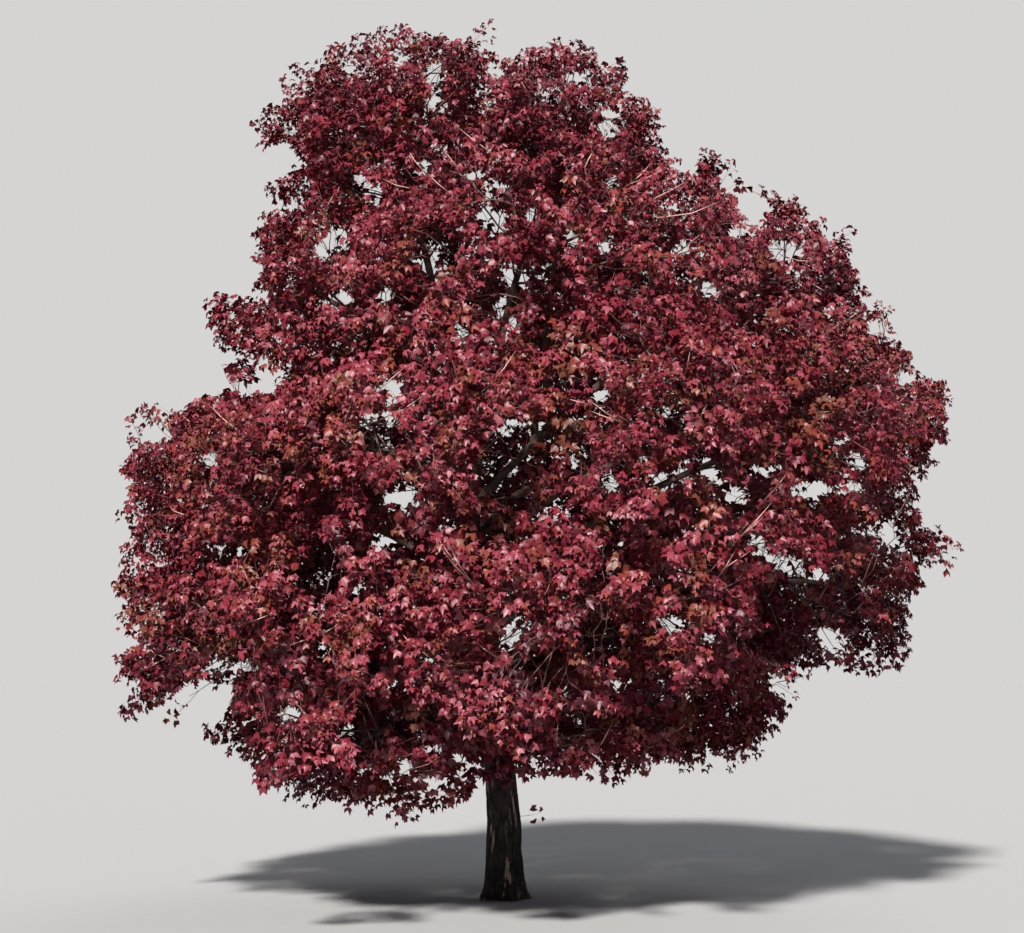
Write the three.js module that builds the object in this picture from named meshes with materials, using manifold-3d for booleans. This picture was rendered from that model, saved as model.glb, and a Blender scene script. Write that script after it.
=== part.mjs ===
// A young purple-leaved maple that stands alone: a short leaning trunk with a root flare, three
// leaders, tapering boughs, and a broad egg-shaped crown of separate leaf masses.
//
// Millimetres, +Z up, +X to the right, front towards -Y. The origin is the middle of the flat cut
// under the trunk, at ground level.

import * as THREE from 'three';
import { mergeVertices } from 'three/addons/utils/BufferGeometryUtils.js';
import Module from 'manifold-3d';

const wasm = await Module();
wasm.setup();

const { clamp, lerp, smoothstep, degToRad } = THREE.MathUtils;

// ---------------------------------------------------------------------------------------------
// Driving dimensions
// ---------------------------------------------------------------------------------------------

const SEED = 11;

// Clearance between a limb and the solid that it grows from or carries.
const SEAT_GAP = 0.3;

// The trunk tapers from foot to fork, leans between two heights, and flares and ribs at its foot.
const TRUNK = {
  height: 2900,
  footRadius: 137,
  forkRadius: 56,
  flare: 40,
  flareHeight: 110,
  buttresses: 5,
  buttressDepth: 0.1,
  leanLeft: 235,
  leanBack: 70,
  leanFrom: 500,
  leanTo: 2350,
  sides: 12,
  steps: 8,
  crowding: 1.7,
};

// Each leader climbs from the fork to a seam between two leaf masses, counted round its tier.
// bow moves its middle sideways, and rise is how far up that middle lies.
const LEADERS = [
  { name: 'leader_left', tier: 'top', seam: 1, radius: 40, tipRadius: 22, bow: -60, rise: 0.62 },
  { name: 'leader_centre', tier: 'top', seam: 3, radius: 34, tipRadius: 21, bow: 50, rise: 0.66 },
  { name: 'leader_right', tier: 'upper', seam: 7, radius: 36, tipRadius: 21, bow: 40, rise: 0.6 },
];
const FORK_DEPTH = 90;
const LEADER_ENTRY = 350;

const BOUGH_TIP_RADIUS = 20;
const BOUGH_ENTRY = 0.22;
const BOUGH_SWAY = 0.05;
const LIMB_SIDES = 5;
const LIMB_STEPS = 5;

// Tiers of leaf masses from the ground up. left and right are the heights of a mass at that side
// of the crown, turn is the bearing of the first one, and inset is how far the ring is drawn in.
// boughs lists the seams that a bough grows to. They leave the trunk, or above the fork a leader,
// between the heights from and to, and arch is how far they bend upwards.
const TIERS = [
  {
    name: 'skirt', count: 6, turn: 5, left: 1010, right: 1400, inset: 60,
    halfHeight: 500, halfDepth: 730, halfWidth: 980,
    boughs: [1, 3, 5], from: 980, to: 1200, radius: 36, arch: 0.16,
  },
  {
    name: 'low', count: 10, turn: 18, left: 1810, right: 2300, inset: 0,
    halfHeight: 740, halfDepth: 720, halfWidth: 960,
    boughs: [1, 3, 5, 7, 9], from: 1320, to: 1900, radius: 42, arch: 0.1,
  },
  {
    name: 'middle', count: 10, turn: 0, left: 2900, right: 3560, inset: 0,
    halfHeight: 760, halfDepth: 720, halfWidth: 980,
    boughs: [0, 2, 4, 6, 8], from: 2080, to: 2740, radius: 38, arch: 0.06,
  },
  {
    name: 'upper', count: 8, turn: 22, left: 4320, right: 4390, inset: 60,
    halfHeight: 740, halfDepth: 660, halfWidth: 920,
    boughs: [1, 3, 5], from: 3250, to: 3900, radius: 30, arch: 0.04,
  },
  {
    name: 'top', count: 4, turn: 45, left: 5560, right: 5390, inset: 90,
    halfHeight: 880, halfDepth: 720, halfWidth: 860,
    boughs: [],
  },
];

// Outline of the crown: how far it reaches to the left and right of the trunk's foot, by height.
const OUTLINE = [
  { height: 560, left: 1350, right: 500 },
  { height: 850, left: 1850, right: 1500 },
  { height: 1250, left: 2450, right: 1960 },
  { height: 1500, left: 2790, right: 2350 },
  { height: 1800, left: 2820, right: 2880 },
  { height: 2400, left: 2840, right: 3100 },
  { height: 3100, left: 2800, right: 3280 },
  { height: 3480, left: 2640, right: 3300 },
  { height: 3750, left: 2160, right: 2980 },
  { height: 4100, left: 2200, right: 2830 },
  { height: 4600, left: 2010, right: 2580 },
  { height: 4950, left: 1840, right: 2120 },
  { height: 5250, left: 1850, right: 1450 },
  { height: 5800, left: 1800, right: 1090 },
  { height: 6150, left: 1380, right: 740 },
  { height: 6400, left: 950, right: -450 },
];
const LOWEST = OUTLINE[0];
const HIGHEST = OUTLINE[OUTLINE.length - 1];

// Depth of the crown, front to back, as a share of its width, and the least reach of a ring.
const CROWN_DEPTH = 0.92;
const LEAST_RING = 0.4;

// Leaf masses: the crack between neighbours, how finely they are faceted, how far their heights
// and bearings stray, how uneven they are, and how much calmer they are towards a neighbour.
const SEAM = 10;
const MASS_DETAIL = 2;
const HEIGHT_JITTER = 120;
const BEARING_JITTER = 4;
const UNEVENNESS = 0.17;
const CALM_SIDES = 0.7;
const OVERHANG = 1.02;
const LOBE_SHARPNESS = 9;
const SEAM_SHARPNESS = 24;

// ---------------------------------------------------------------------------------------------
// Materials
// ---------------------------------------------------------------------------------------------

const barkMaterial = () => new THREE.MeshStandardMaterial({ color: 0x3b302b, roughness: 0.92 });

function leafMaterial(shade) {
  const color = new THREE.Color(0x5a1220).lerp(new THREE.Color(0x7a2530), shade);
  return new THREE.MeshStandardMaterial({ color, roughness: 0.55 });
}

// ---------------------------------------------------------------------------------------------
// Solids
// ---------------------------------------------------------------------------------------------

function closedGeometry(geometry) {
  geometry.deleteAttribute('normal');
  geometry.deleteAttribute('uv');
  return mergeVertices(geometry, 1e-4);
}

function toSolid(geometry) {
  const vertProperties = new Float32Array(geometry.getAttribute('position').array);
  const triVerts = new Uint32Array(geometry.getIndex().array);
  return new wasm.Manifold(new wasm.Mesh({ numProp: 3, vertProperties, triVerts }));
}

function toGeometry(solid) {
  const mesh = solid.getMesh();
  const geometry = new THREE.BufferGeometry();
  geometry.setAttribute('position', new THREE.BufferAttribute(mesh.vertProperties, 3));
  geometry.setIndex(new THREE.BufferAttribute(mesh.triVerts, 1));
  geometry.computeVertexNormals();
  return geometry;
}

// A solid less every cutter, keeping the largest piece that is left.
function cut(solid, cutters) {
  let rest = solid;
  for (const cutter of cutters) {
    rest = rest.subtract(cutter);
  }
  const pieces = rest.decompose();
  pieces.sort((a, b) => b.volume() - a.volume());
  return pieces[0];
}

function named(name, solid, material) {
  const mesh = new THREE.Mesh(toGeometry(solid), material);
  mesh.name = name;
  return mesh;
}

// ---------------------------------------------------------------------------------------------
// Seeded unevenness
// ---------------------------------------------------------------------------------------------

function randomSource(seed) {
  let state = seed;
  return () => {
    state = (state + 0x6d2b79f5) | 0;
    let mixed = Math.imul(state ^ (state >>> 15), 1 | state);
    mixed = (mixed + Math.imul(mixed ^ (mixed >>> 7), 61 | mixed)) ^ mixed;
    return ((mixed ^ (mixed >>> 14)) >>> 0) / 4294967296;
  };
}

const random = randomSource(SEED);
const jitter = (size) => (2 * random() - 1) * size;

// Plane waves in random directions, whose sum is a slow bumpiness in space.
const WAVES = Array.from({ length: 7 }, () => ({
  direction: new THREE.Vector3(jitter(1), jitter(1), jitter(1)).normalize(),
  length: lerp(90, 210, random()),
  phase: 2 * Math.PI * random(),
}));

function wavesAt(point) {
  let sum = 0;
  for (const wave of WAVES) {
    sum += Math.sin(point.dot(wave.direction) / wave.length + wave.phase);
  }
  return sum / Math.sqrt(WAVES.length);
}

// ---------------------------------------------------------------------------------------------
// Trunk
// ---------------------------------------------------------------------------------------------

function trunkCentre(height) {
  const lean = smoothstep(height, TRUNK.leanFrom, TRUNK.leanTo);
  return new THREE.Vector3(-TRUNK.leanLeft * lean, TRUNK.leanBack * lean, height);
}

function trunkRadius(height, angle) {
  const stem = lerp(TRUNK.footRadius, TRUNK.forkRadius, height / TRUNK.height);
  const nearFoot = Math.exp(-height / TRUNK.flareHeight);
  const ribs = 1 + TRUNK.buttressDepth * nearFoot * Math.cos(TRUNK.buttresses * angle);
  return (stem + TRUNK.flare * nearFoot) * ribs;
}

// The trunk as a cylinder whose level rings follow the lean and crowd towards the flare.
function trunkSolid(extra = 0) {
  const cylinder = new THREE.CylinderGeometry(1, 1, 1, TRUNK.sides, TRUNK.steps);
  const geometry = cylinder.rotateX(Math.PI / 2);
  const position = geometry.getAttribute('position');
  for (let i = 0; i < position.count; i += 1) {
    const height = TRUNK.height * Math.pow(position.getZ(i) + 0.5, TRUNK.crowding);
    const angle = Math.atan2(position.getY(i), position.getX(i));
    const share = Math.hypot(position.getX(i), position.getY(i));
    const reach = share * (trunkRadius(height, angle) + extra);
    const centre = trunkCentre(height);
    const x = centre.x + reach * Math.cos(angle);
    const y = centre.y + reach * Math.sin(angle);
    position.setXYZ(i, x, y, height);
  }
  return toSolid(closedGeometry(geometry));
}

// ---------------------------------------------------------------------------------------------
// Limbs
// ---------------------------------------------------------------------------------------------

// A tapering limb of round section along a curve, thicker all over by extra.
function limbSolid({ curve, radius, tipRadius }, extra = 0) {
  const cylinder = new THREE.CylinderGeometry(1, 1, 1, LIMB_SIDES, LIMB_STEPS);
  const geometry = cylinder.rotateX(Math.PI / 2);
  const frames = curve.computeFrenetFrames(LIMB_STEPS);
  const position = geometry.getAttribute('position');
  for (let i = 0; i < position.count; i += 1) {
    const ring = Math.round((position.getZ(i) + 0.5) * LIMB_STEPS);
    const along = ring / LIMB_STEPS;
    const size = lerp(radius, tipRadius, along) + extra;
    const point = curve.getPointAt(along);
    point.addScaledVector(frames.normals[ring], size * position.getX(i));
    point.addScaledVector(frames.binormals[ring], size * position.getY(i));
    if (ring === LIMB_STEPS) point.addScaledVector(frames.tangents[ring], extra);
    position.setXYZ(i, point.x, point.y, point.z);
  }
  return toSolid(closedGeometry(geometry));
}

// A bough's curve from start to end, which arches up, sways, and ends within the seam.
function boughCurve(start, end, along, arch) {
  const length = start.distanceTo(end);
  const entry = end.clone().addScaledVector(along, -BOUGH_ENTRY * length);
  const middle = start.clone().lerp(entry, 0.5);
  const sideways = new THREE.Vector3(-along.y, along.x, 0);
  middle.z += arch * length;
  middle.addScaledVector(sideways, jitter(BOUGH_SWAY) * length);
  entry.z += 0.5 * arch * length;
  return new THREE.CatmullRomCurve3([start, middle, entry, end]);
}

// A leader's curve, which stands steeper near the fork and bows sideways.
function leaderCurve(start, end, along, bow, rise) {
  const middle = start.clone().lerp(end, rise);
  middle.x = lerp(start.x, end.x, 0.45) + bow;
  const entry = end.clone().addScaledVector(along, -LEADER_ENTRY);
  return new THREE.CatmullRomCurve3([start, middle, entry, end]);
}

// ---------------------------------------------------------------------------------------------
// Crown
// ---------------------------------------------------------------------------------------------

// Middle and half sizes of the crown's section at a height.
function crownSection(height) {
  const level = clamp(height, LOWEST.height, HIGHEST.height);
  const row = OUTLINE.findIndex((entry) => entry.height >= level);
  const above = OUTLINE[Math.max(row, 1)];
  const below = OUTLINE[Math.max(row, 1) - 1];
  const share = (level - below.height) / (above.height - below.height);
  const left = lerp(below.left, above.left, share);
  const right = lerp(below.right, above.right, share);
  const halfX = (left + right) / 2;
  return { middle: (right - left) / 2, halfX, halfY: halfX * CROWN_DEPTH };
}

function insideCrown(point) {
  if (point.z < LOWEST.height || point.z > HIGHEST.height) return false;
  const { middle, halfX, halfY } = crownSection(point.z);
  return Math.hypot((point.x - middle) / halfX, point.y / halfY) < 1;
}

// Centres and own axes of the masses of one tier.
function tierMasses(tier) {
  const ring = [];
  for (let i = 0; i < tier.count; i += 1) {
    const bearing = degToRad(tier.turn + (360 * i) / tier.count + jitter(BEARING_JITTER));
    const outward = new THREE.Vector3(Math.cos(bearing), Math.sin(bearing), 0);
    const sideways = new THREE.Vector3(-outward.y, outward.x, 0);
    const height = lerp(tier.left, tier.right, (outward.x + 1) / 2) + jitter(HEIGHT_JITTER);
    const { middle, halfX, halfY } = crownSection(height);
    const drawnIn = tier.halfDepth + tier.inset;
    const x = middle + (halfX - drawnIn) * outward.x;
    const y = Math.max(halfY - drawnIn, LEAST_RING * halfY) * outward.y;
    const centre = new THREE.Vector3(x, y, height);
    ring.push({ name: `${tier.name}_mass_${i + 1}`, tier, centre, outward, sideways });
  }
  return ring;
}

// Distance from a mass's centre to its own egg shape.
function lobeReach(mass, direction) {
  const { halfDepth, halfWidth, halfHeight } = mass.tier;
  const out = direction.dot(mass.outward) / halfDepth;
  const side = direction.dot(mass.sideways) / halfWidth;
  const up = direction.z / halfHeight;
  return 1 / Math.hypot(out, side, up);
}

// Distance to the plane half way to a neighbour, less half of the crack.
function seamReach(mass, other, direction) {
  const towards = other.centre.clone().sub(mass.centre);
  const distance = towards.length();
  const slope = direction.dot(towards) / distance;
  return slope > 0.01 ? (distance - SEAM) / 2 / slope : Infinity;
}

// Distance to the crown's outline, found by halving.
function outlineReach(mass, direction) {
  let near = 0;
  let far = HIGHEST.height;
  for (let step = 0; step < 16; step += 1) {
    const half = (near + far) / 2;
    const point = mass.centre.clone().addScaledVector(direction, half);
    if (insideCrown(point)) near = half;
    else far = half;
  }
  return near;
}

// A length just under the least of several, so that the edges between them come out rounded.
function softLeast(lengths, sharpness) {
  const least = Math.min(...lengths);
  let sum = 0;
  for (const length of lengths) {
    sum += Math.pow(least / length, sharpness);
  }
  return least * Math.pow(sum, -1 / sharpness);
}

function massReach(mass, others, direction) {
  const outline = outlineReach(mass, direction);
  const smooth = softLeast([lobeReach(mass, direction), outline], LOBE_SHARPNESS);
  const point = mass.centre.clone().addScaledVector(direction, smooth);
  const strength = UNEVENNESS * (1 - CALM_SIDES * direction.dot(mass.sideways) ** 2);
  const uneven = smooth * (1 + strength * wavesAt(point));
  const seams = others.map((other) => seamReach(mass, other, direction));
  return softLeast([Math.min(uneven, outline * OVERHANG), ...seams], SEAM_SHARPNESS);
}

function massSolid(mass, masses) {
  const others = masses.filter((other) => other !== mass);
  const geometry = closedGeometry(new THREE.IcosahedronGeometry(1, MASS_DETAIL));
  const position = geometry.getAttribute('position');
  for (let i = 0; i < position.count; i += 1) {
    const direction = new THREE.Vector3().fromBufferAttribute(position, i).normalize();
    const reach = massReach(mass, others, direction);
    const point = mass.centre.clone().addScaledVector(direction, reach);
    position.setXYZ(i, point.x, point.y, point.z);
  }
  return toSolid(geometry);
}

// ---------------------------------------------------------------------------------------------
// Assembly
// ---------------------------------------------------------------------------------------------

const masses = TIERS.flatMap(tierMasses);

// The seam between a mass of a tier and the next one round, and the way that a limb from start
// runs within it.
function seamFrom(start, tierName, index) {
  const ring = masses.filter((mass) => mass.tier.name === tierName);
  const first = ring[index];
  const second = ring[(index + 1) % ring.length];
  const point = first.centre.clone().lerp(second.centre, 0.5);
  const across = second.centre.clone().sub(first.centre).normalize();
  const run = point.clone().sub(start);
  const along = run.addScaledVector(across, -run.dot(across)).normalize();
  return { point, along };
}

function leaderLimb({ name, tier, seam, radius, tipRadius, bow, rise }) {
  const start = trunkCentre(TRUNK.height - FORK_DEPTH);
  const { point, along } = seamFrom(start, tier, seam);
  return { name, curve: leaderCurve(start, point, along, bow, rise), radius, tipRadius };
}

// The place at a height on the leader that passes nearest to a tier's seam.
function placeOnLeaders(leaders, tier, seam, height) {
  const places = leaders.map(({ curve }) => curve.getSpacedPoints(60).find(({ z }) => z >= height));
  const distance = (place) => place.distanceTo(seamFrom(place, tier.name, seam).point);
  return places.reduce((best, place) => (distance(place) < distance(best) ? place : best));
}

// The boughs of a tier leave at heights spread by the golden ratio, so that no two are level.
function boughLimb(tier, order, leaders) {
  const seam = tier.boughs[order];
  const height = lerp(tier.from, tier.to, (order * 0.618) % 1);
  const onTrunk = height < TRUNK.height;
  const start = onTrunk ? trunkCentre(height) : placeOnLeaders(leaders, tier, seam, height);
  const { point, along } = seamFrom(start, tier.name, seam);
  return {
    name: `${tier.name}_bough_${order + 1}`,
    curve: boughCurve(start, point, along, tier.arch),
    radius: tier.radius,
    tipRadius: BOUGH_TIP_RADIUS,
  };
}

const leaders = LEADERS.map(leaderLimb);
const boughs = TIERS.flatMap((tier) => tier.boughs.map((_, order) => boughLimb(tier, order, leaders)));

const tree = new THREE.Group();
tree.add(named('trunk', trunkSolid(), barkMaterial()));

// Each limb is cut where it leaves the wood that is already there, and each mass round all of it.
const wood = [trunkSolid(SEAT_GAP)];
for (const limb of [...leaders, ...boughs]) {
  tree.add(named(limb.name, cut(limbSolid(limb), wood), barkMaterial()));
  wood.push(limbSolid(limb, SEAT_GAP));
}

masses.forEach((mass, index) => {
  const shade = (index % 5) / 4;
  tree.add(named(mass.name, cut(massSolid(mass, masses), wood), leafMaterial(shade)));
});

export default tree;
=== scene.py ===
"""A purple-leaved maple in spring leaf: bark, boughs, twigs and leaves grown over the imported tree."""
import itertools
import math
from collections import namedtuple

import bpy
import numpy as np
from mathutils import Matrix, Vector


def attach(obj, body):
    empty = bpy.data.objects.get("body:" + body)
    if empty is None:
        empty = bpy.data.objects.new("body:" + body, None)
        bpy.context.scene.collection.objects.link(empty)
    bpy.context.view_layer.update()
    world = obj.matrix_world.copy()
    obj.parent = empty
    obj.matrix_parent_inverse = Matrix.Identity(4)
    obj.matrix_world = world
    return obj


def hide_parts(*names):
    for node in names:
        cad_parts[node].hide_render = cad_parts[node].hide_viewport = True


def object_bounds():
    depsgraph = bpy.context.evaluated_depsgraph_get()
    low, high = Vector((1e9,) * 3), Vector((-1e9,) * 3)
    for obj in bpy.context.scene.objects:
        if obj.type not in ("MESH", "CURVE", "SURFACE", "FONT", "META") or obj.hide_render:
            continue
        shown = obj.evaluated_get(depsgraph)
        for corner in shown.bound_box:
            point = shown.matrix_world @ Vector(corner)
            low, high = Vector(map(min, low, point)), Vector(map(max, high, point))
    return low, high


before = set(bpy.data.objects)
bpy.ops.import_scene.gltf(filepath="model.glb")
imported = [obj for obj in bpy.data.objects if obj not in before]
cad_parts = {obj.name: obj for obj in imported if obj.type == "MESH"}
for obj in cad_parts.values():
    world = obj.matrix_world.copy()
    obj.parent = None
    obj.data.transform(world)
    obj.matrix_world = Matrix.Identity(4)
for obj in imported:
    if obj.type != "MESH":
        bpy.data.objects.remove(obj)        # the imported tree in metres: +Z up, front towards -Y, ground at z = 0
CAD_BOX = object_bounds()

# ==== Named sizes, in metres and degrees unless the name says otherwise ====

SEED = 23
chance = np.random.default_rng(SEED)
UP = np.array((0.0, 0.0, 1.0))
NEARLY_UP = UP + 0.01        # never quite along another direction
BOX_LOW, BOX_HIGH = (np.array(corner) for corner in CAD_BOX)

# A leaf mass as packed, with the volume that each of its triangles closes. A grown stem, with its
# headings at both ends and how many shoots it feeds: 1 on a shoot.
Fill = namedtuple("Fill", "middle volume triangles shares")
Stem = namedtuple("Stem", "start leaving end arriving shoots bare", defaults=(False,))

# Which leaf masses each bough carries, by tier, and each leader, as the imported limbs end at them.
BOUGHS_CARRY = {
    "skirt": ((2, 3), (4, 5), (6, 1)),
    "low": ((2, 3), (4, 5), (6, 7), (8, 9), (10, 1)),
    "middle": ((1, 2), (3, 4), (5, 6), (7, 8), (9, 10)),
    "upper": ((2, 3), (4, 5), (6, 7)),
}
LEADERS_CARRY = {
    "leader_left": ("top_mass_2", "top_mass_3"),
    "leader_centre": ("top_mass_4", "top_mass_1"),
    "leader_right": ("upper_mass_8", "upper_mass_1"),
}

# Limbs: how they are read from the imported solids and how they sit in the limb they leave.
LIMB_STATIONS = 9
LIMB_CUTS = (0.1, 0.96)      # the first and the last cut through a limb, as shares of its length
ROOT_BURIED = 0.07
COLLAR_SWELL = 0.55
COLLAR_LENGTH = 2.4          # in radii
TRUNK_STATIONS = 22
TRUNK_LOWEST_CUT = 0.04      # as a share of its height
TRUNK_CUTS_LOW = 1.7         # the power that crowds the cuts towards the foot
TRUNK_TOP_CUT = 0.01         # below its top
TRUNK_FOOT_SWELL = 1.05
TRUNK_DOME = 0.09
TRUNK_DOME_SHAPE = ((0.5, 0.86), (0.85, 0.5), (1.0, 0.06))  # height and radius, as shares
FLARE_HEIGHT = 0.13          # the ribs of the root flare fade over this height

# The relief of the bark: how fine and how wavy its fissures and lumps are, and how wide a fissure
# is in its noise.
FISSURE_DETAIL = 2.5
FISSURE_BEND = 0.4
FISSURE_WIDTH = 0.085
LUMP_SCALE = 5.0
LUMP_DETAIL = 3.0

# Wood grown past the limbs: a branch that feeds n shoots is SHOOT_RADIUS * n ** PIPE_POWER thick.
SHOOT_RADIUS = 0.0017
PIPE_POWER = 0.43
BARK_FROM = 0.0065
FORK_AT = (0.24, 0.42)       # share of the way to the middle of what it feeds
SIDE_BRANCHES_AT = (0.48, 0.64, 0.8, 0.92, 1.0)
INNER_BRANCHES_AT = (0.2, 0.3, 0.4, 0.5, 0.6, 0.7, 0.8, 0.9)
HEADING_STEP = 0.05          # a limb's heading is taken over this length
TURN_COST = 0.8
SHOOT_LIFT = 0.35
FORK_SWAY = 0.07             # as a share of the way
FORK_SPLIT = (0.3, 0.7)      # the share of its tips that the first of two arms feeds
FORK_ONWARD = 0.45           # how far a stem keeps its heading up to its fork
FORK_TO_MIDDLE = 0.25        # and how far it turns to the middle of what it feeds
FORK_OPENING = 0.8           # how far the two arms turn apart
STRAIGHT_TWIG = 0.15
STEM_BURIED = 0.6            # in radii, how deep a stem starts inside the one that it leaves
STEM_TAPER = 0.1
BRANCH_POINTS = 4            # on each branch that is thick enough for bark
BROWN_TWIG = 6               # a twig that feeds more shoots than this is brown
RED_TWIG_SHARE = 0.55        # the share of the thinner ones that are red
BROWN_TWIG_SLOT, BARE_TWIG_SLOT, RED_TWIG_SLOT = range(3)

# Sprays of leaves: how many, how they crowd into clumps, and how far inside a mass they end.
SPRAYS_PER_CUBIC_METRE = 210
DENSER_ABOVE = (4.4, 5.6, 0.32)  # from none to this share more, between these two heights
CLUMPS_PER_CUBIC_METRE = 21
CLUMP_RADIUS = (0.17, 0.29)
CLUMP_FLATNESS = 1.5
STRAY_SHARE = 0.10
CANDIDATES_PER_SPRAY = 9
CROWDED_OUT = 4.2            # the root of a random depth, to crowd places towards a mass's skin
FACING_SKIN = (0.1, 0.7)     # how squarely skin faces out where it turns from seam to crown skin
CLUMP_EVENNESS = 0.7         # how evenly clumps, sprays and tufts are spread out: 1 is the most
SPRAY_EVENNESS = 0.8
TUFT_EVENNESS = 0.4
SPRAY_INSET = 0.045
LONELY = (0.30, 7)           # sprays with fewer than so many others this near are left out
PAST_BOX = 0.03
SEAM_OVERLAP = 0.06
INNER_SHARE = 0.36           # of the sprays on the side of a mass that faces the trunk
INNER_FROM = -0.5            # in spreads of the sprays' distances from the middle
INNER_SPRAYS_PER_METRE = 11
INNER_REACH = (0.12, 0.46)
INNER_LIFT = 0.4

# Tufts that stand out from the masses: a few on each mass, and those that give the crown's
# outline its tips, as (x, z).
TUFTS_ON_MASS = 3
TUFT_PROUD = (0.0, 0.10)
TUFT_RADIUS = 0.14
TUFT_SCATTER = 1.7           # the tuft's radius over the scatter of its sprays
TUFT_TRAIL = 0.5             # how far its outer sprays trail back into the crown
TUFT_SPRAYS = 8
TUFT_FACING = 0.55           # how squarely the skin under a tuft faces out
TUFT_DEPTH = 0.4             # of an outline tuft, from the crown's middle to its mass's
TUFT_DEPTH_COUNTS = 0.5      # how much depth counts where the nearest mass is looked for
OUTLINE_TUFTS = (
    (-1.3, 6.24), (-1.66, 6.02), (-1.86, 5.8), (-0.1, 6.3), (0.56, 6.2), (1.14, 5.78), (0.96, 5.92),
    (0.84, 6.04), (1.52, 5.38), (1.66, 5.06), (-2.12, 4.06), (-2.14, 4.26), (3.26, 3.62), (3.26, 3.36),
    (2.98, 2.84), (3.24, 2.5), (2.94, 2.12), (2.86, 1.84), (-2.88, 2.38), (-2.7, 1.36), (-2.5, 1.34),
    (-1.78, 5.22), (-1.76, 4.92), (1.1, 5.72), (2.74, 1.62), (2.0, 1.42), (1.94, 1.2), (1.7, 0.98),
    (2.5, 4.76), (2.72, 4.32), (2.92, 3.92), (-0.02, 6.06), (-0.66, 6.24), (-1.18, 6.14), (-1.48, 5.86),
    (-1.72, 5.66), (-1.56, 5.52), (-1.66, 5.14), (-1.62, 4.93), (-1.8, 4.72), (-2.06, 4.2),
    (-2.02, 3.96), (-2.64, 3.38), (-2.72, 3.08), (-2.7, 2.38), (-2.62, 1.4), (-2.36, 1.36),
    (-2.12, 1.12), (-0.16, 6.12), (0.76, 5.96), (1.02, 5.66), (1.14, 5.4), (1.42, 5.28), (2.28, 4.8),
    (2.56, 4.52), (2.6, 4.3), (2.86, 3.92), (3.14, 3.66), (3.16, 3.4), (3.08, 3.08), (2.86, 2.8),
    (3.08, 2.54), (2.92, 2.14), (2.7, 1.74), (1.92, 1.18), (1.66, 0.98), (1.28, 0.92), (-1.8, 5.6),
    (-0.3, 6.18), (0.5, 6.08), (1.1, 5.5), (1.26, 5.26), (2.08, 4.92), (2.38, 4.8), (2.64, 4.34),
    (-2.84, 3.24), (-2.88, 2.7), (-2.78, 1.62), (2.84, 1.66), (2.56, 1.6), (3.2, 3.52), (2.96, 2.62),
    (-2.7, 3.5), (-2.62, 3.42), (-2.0, 3.84), (-1.92, 3.77), (1.18, 5.52), (1.28, 5.4), (1.4, 5.3),
    (1.5, 5.28), (1.98, 5.0), (2.14, 5.0), (2.58, 4.55), (2.96, 3.94), (1.06, 5.74), (1.12, 5.62),
    (1.44, 5.16), (1.54, 5.1), (1.6, 5.0), (1.5, 4.98), (-0.3, 6.06), (0.2, 6.04), (-1.5, 5.7),
    (-1.58, 5.8), (-1.44, 5.92), (-1.4, 5.4), (-1.5, 5.3), (-1.3, 6.12), (-1.22, 6.04), (-0.8, 6.18),
    (0.34, 6.12), (-2.68, 2.86), (-2.66, 2.52), (-2.56, 1.52), (-2.4, 1.5), (-1.9, 1.16), (-1.8, 1.02),
    (1.5, 1.06), (1.3, 1.0), (-2.66, 1.5),
)

# The same low in front, where the skirt's boughs reach out into the sun, as seen from EYE in the
# upright plane through the trunk.
SKIRT_TUFTS = (
    (-0.3, 1.28), (-0.16, 1.16), (-0.06, 1.34), (0.06, 1.2), (0.02, 1.04), (-1.62, 1.06), (-1.6, 0.84),
    (-1.36, 1.14), (-1.22, 0.92), (-0.92, 1.6), (-0.72, 1.64), (0.84, 1.24), (1.36, 1.56), (1.94, 1.14),
)
SKIRT_TUFT_DEPTH = -2.35
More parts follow.
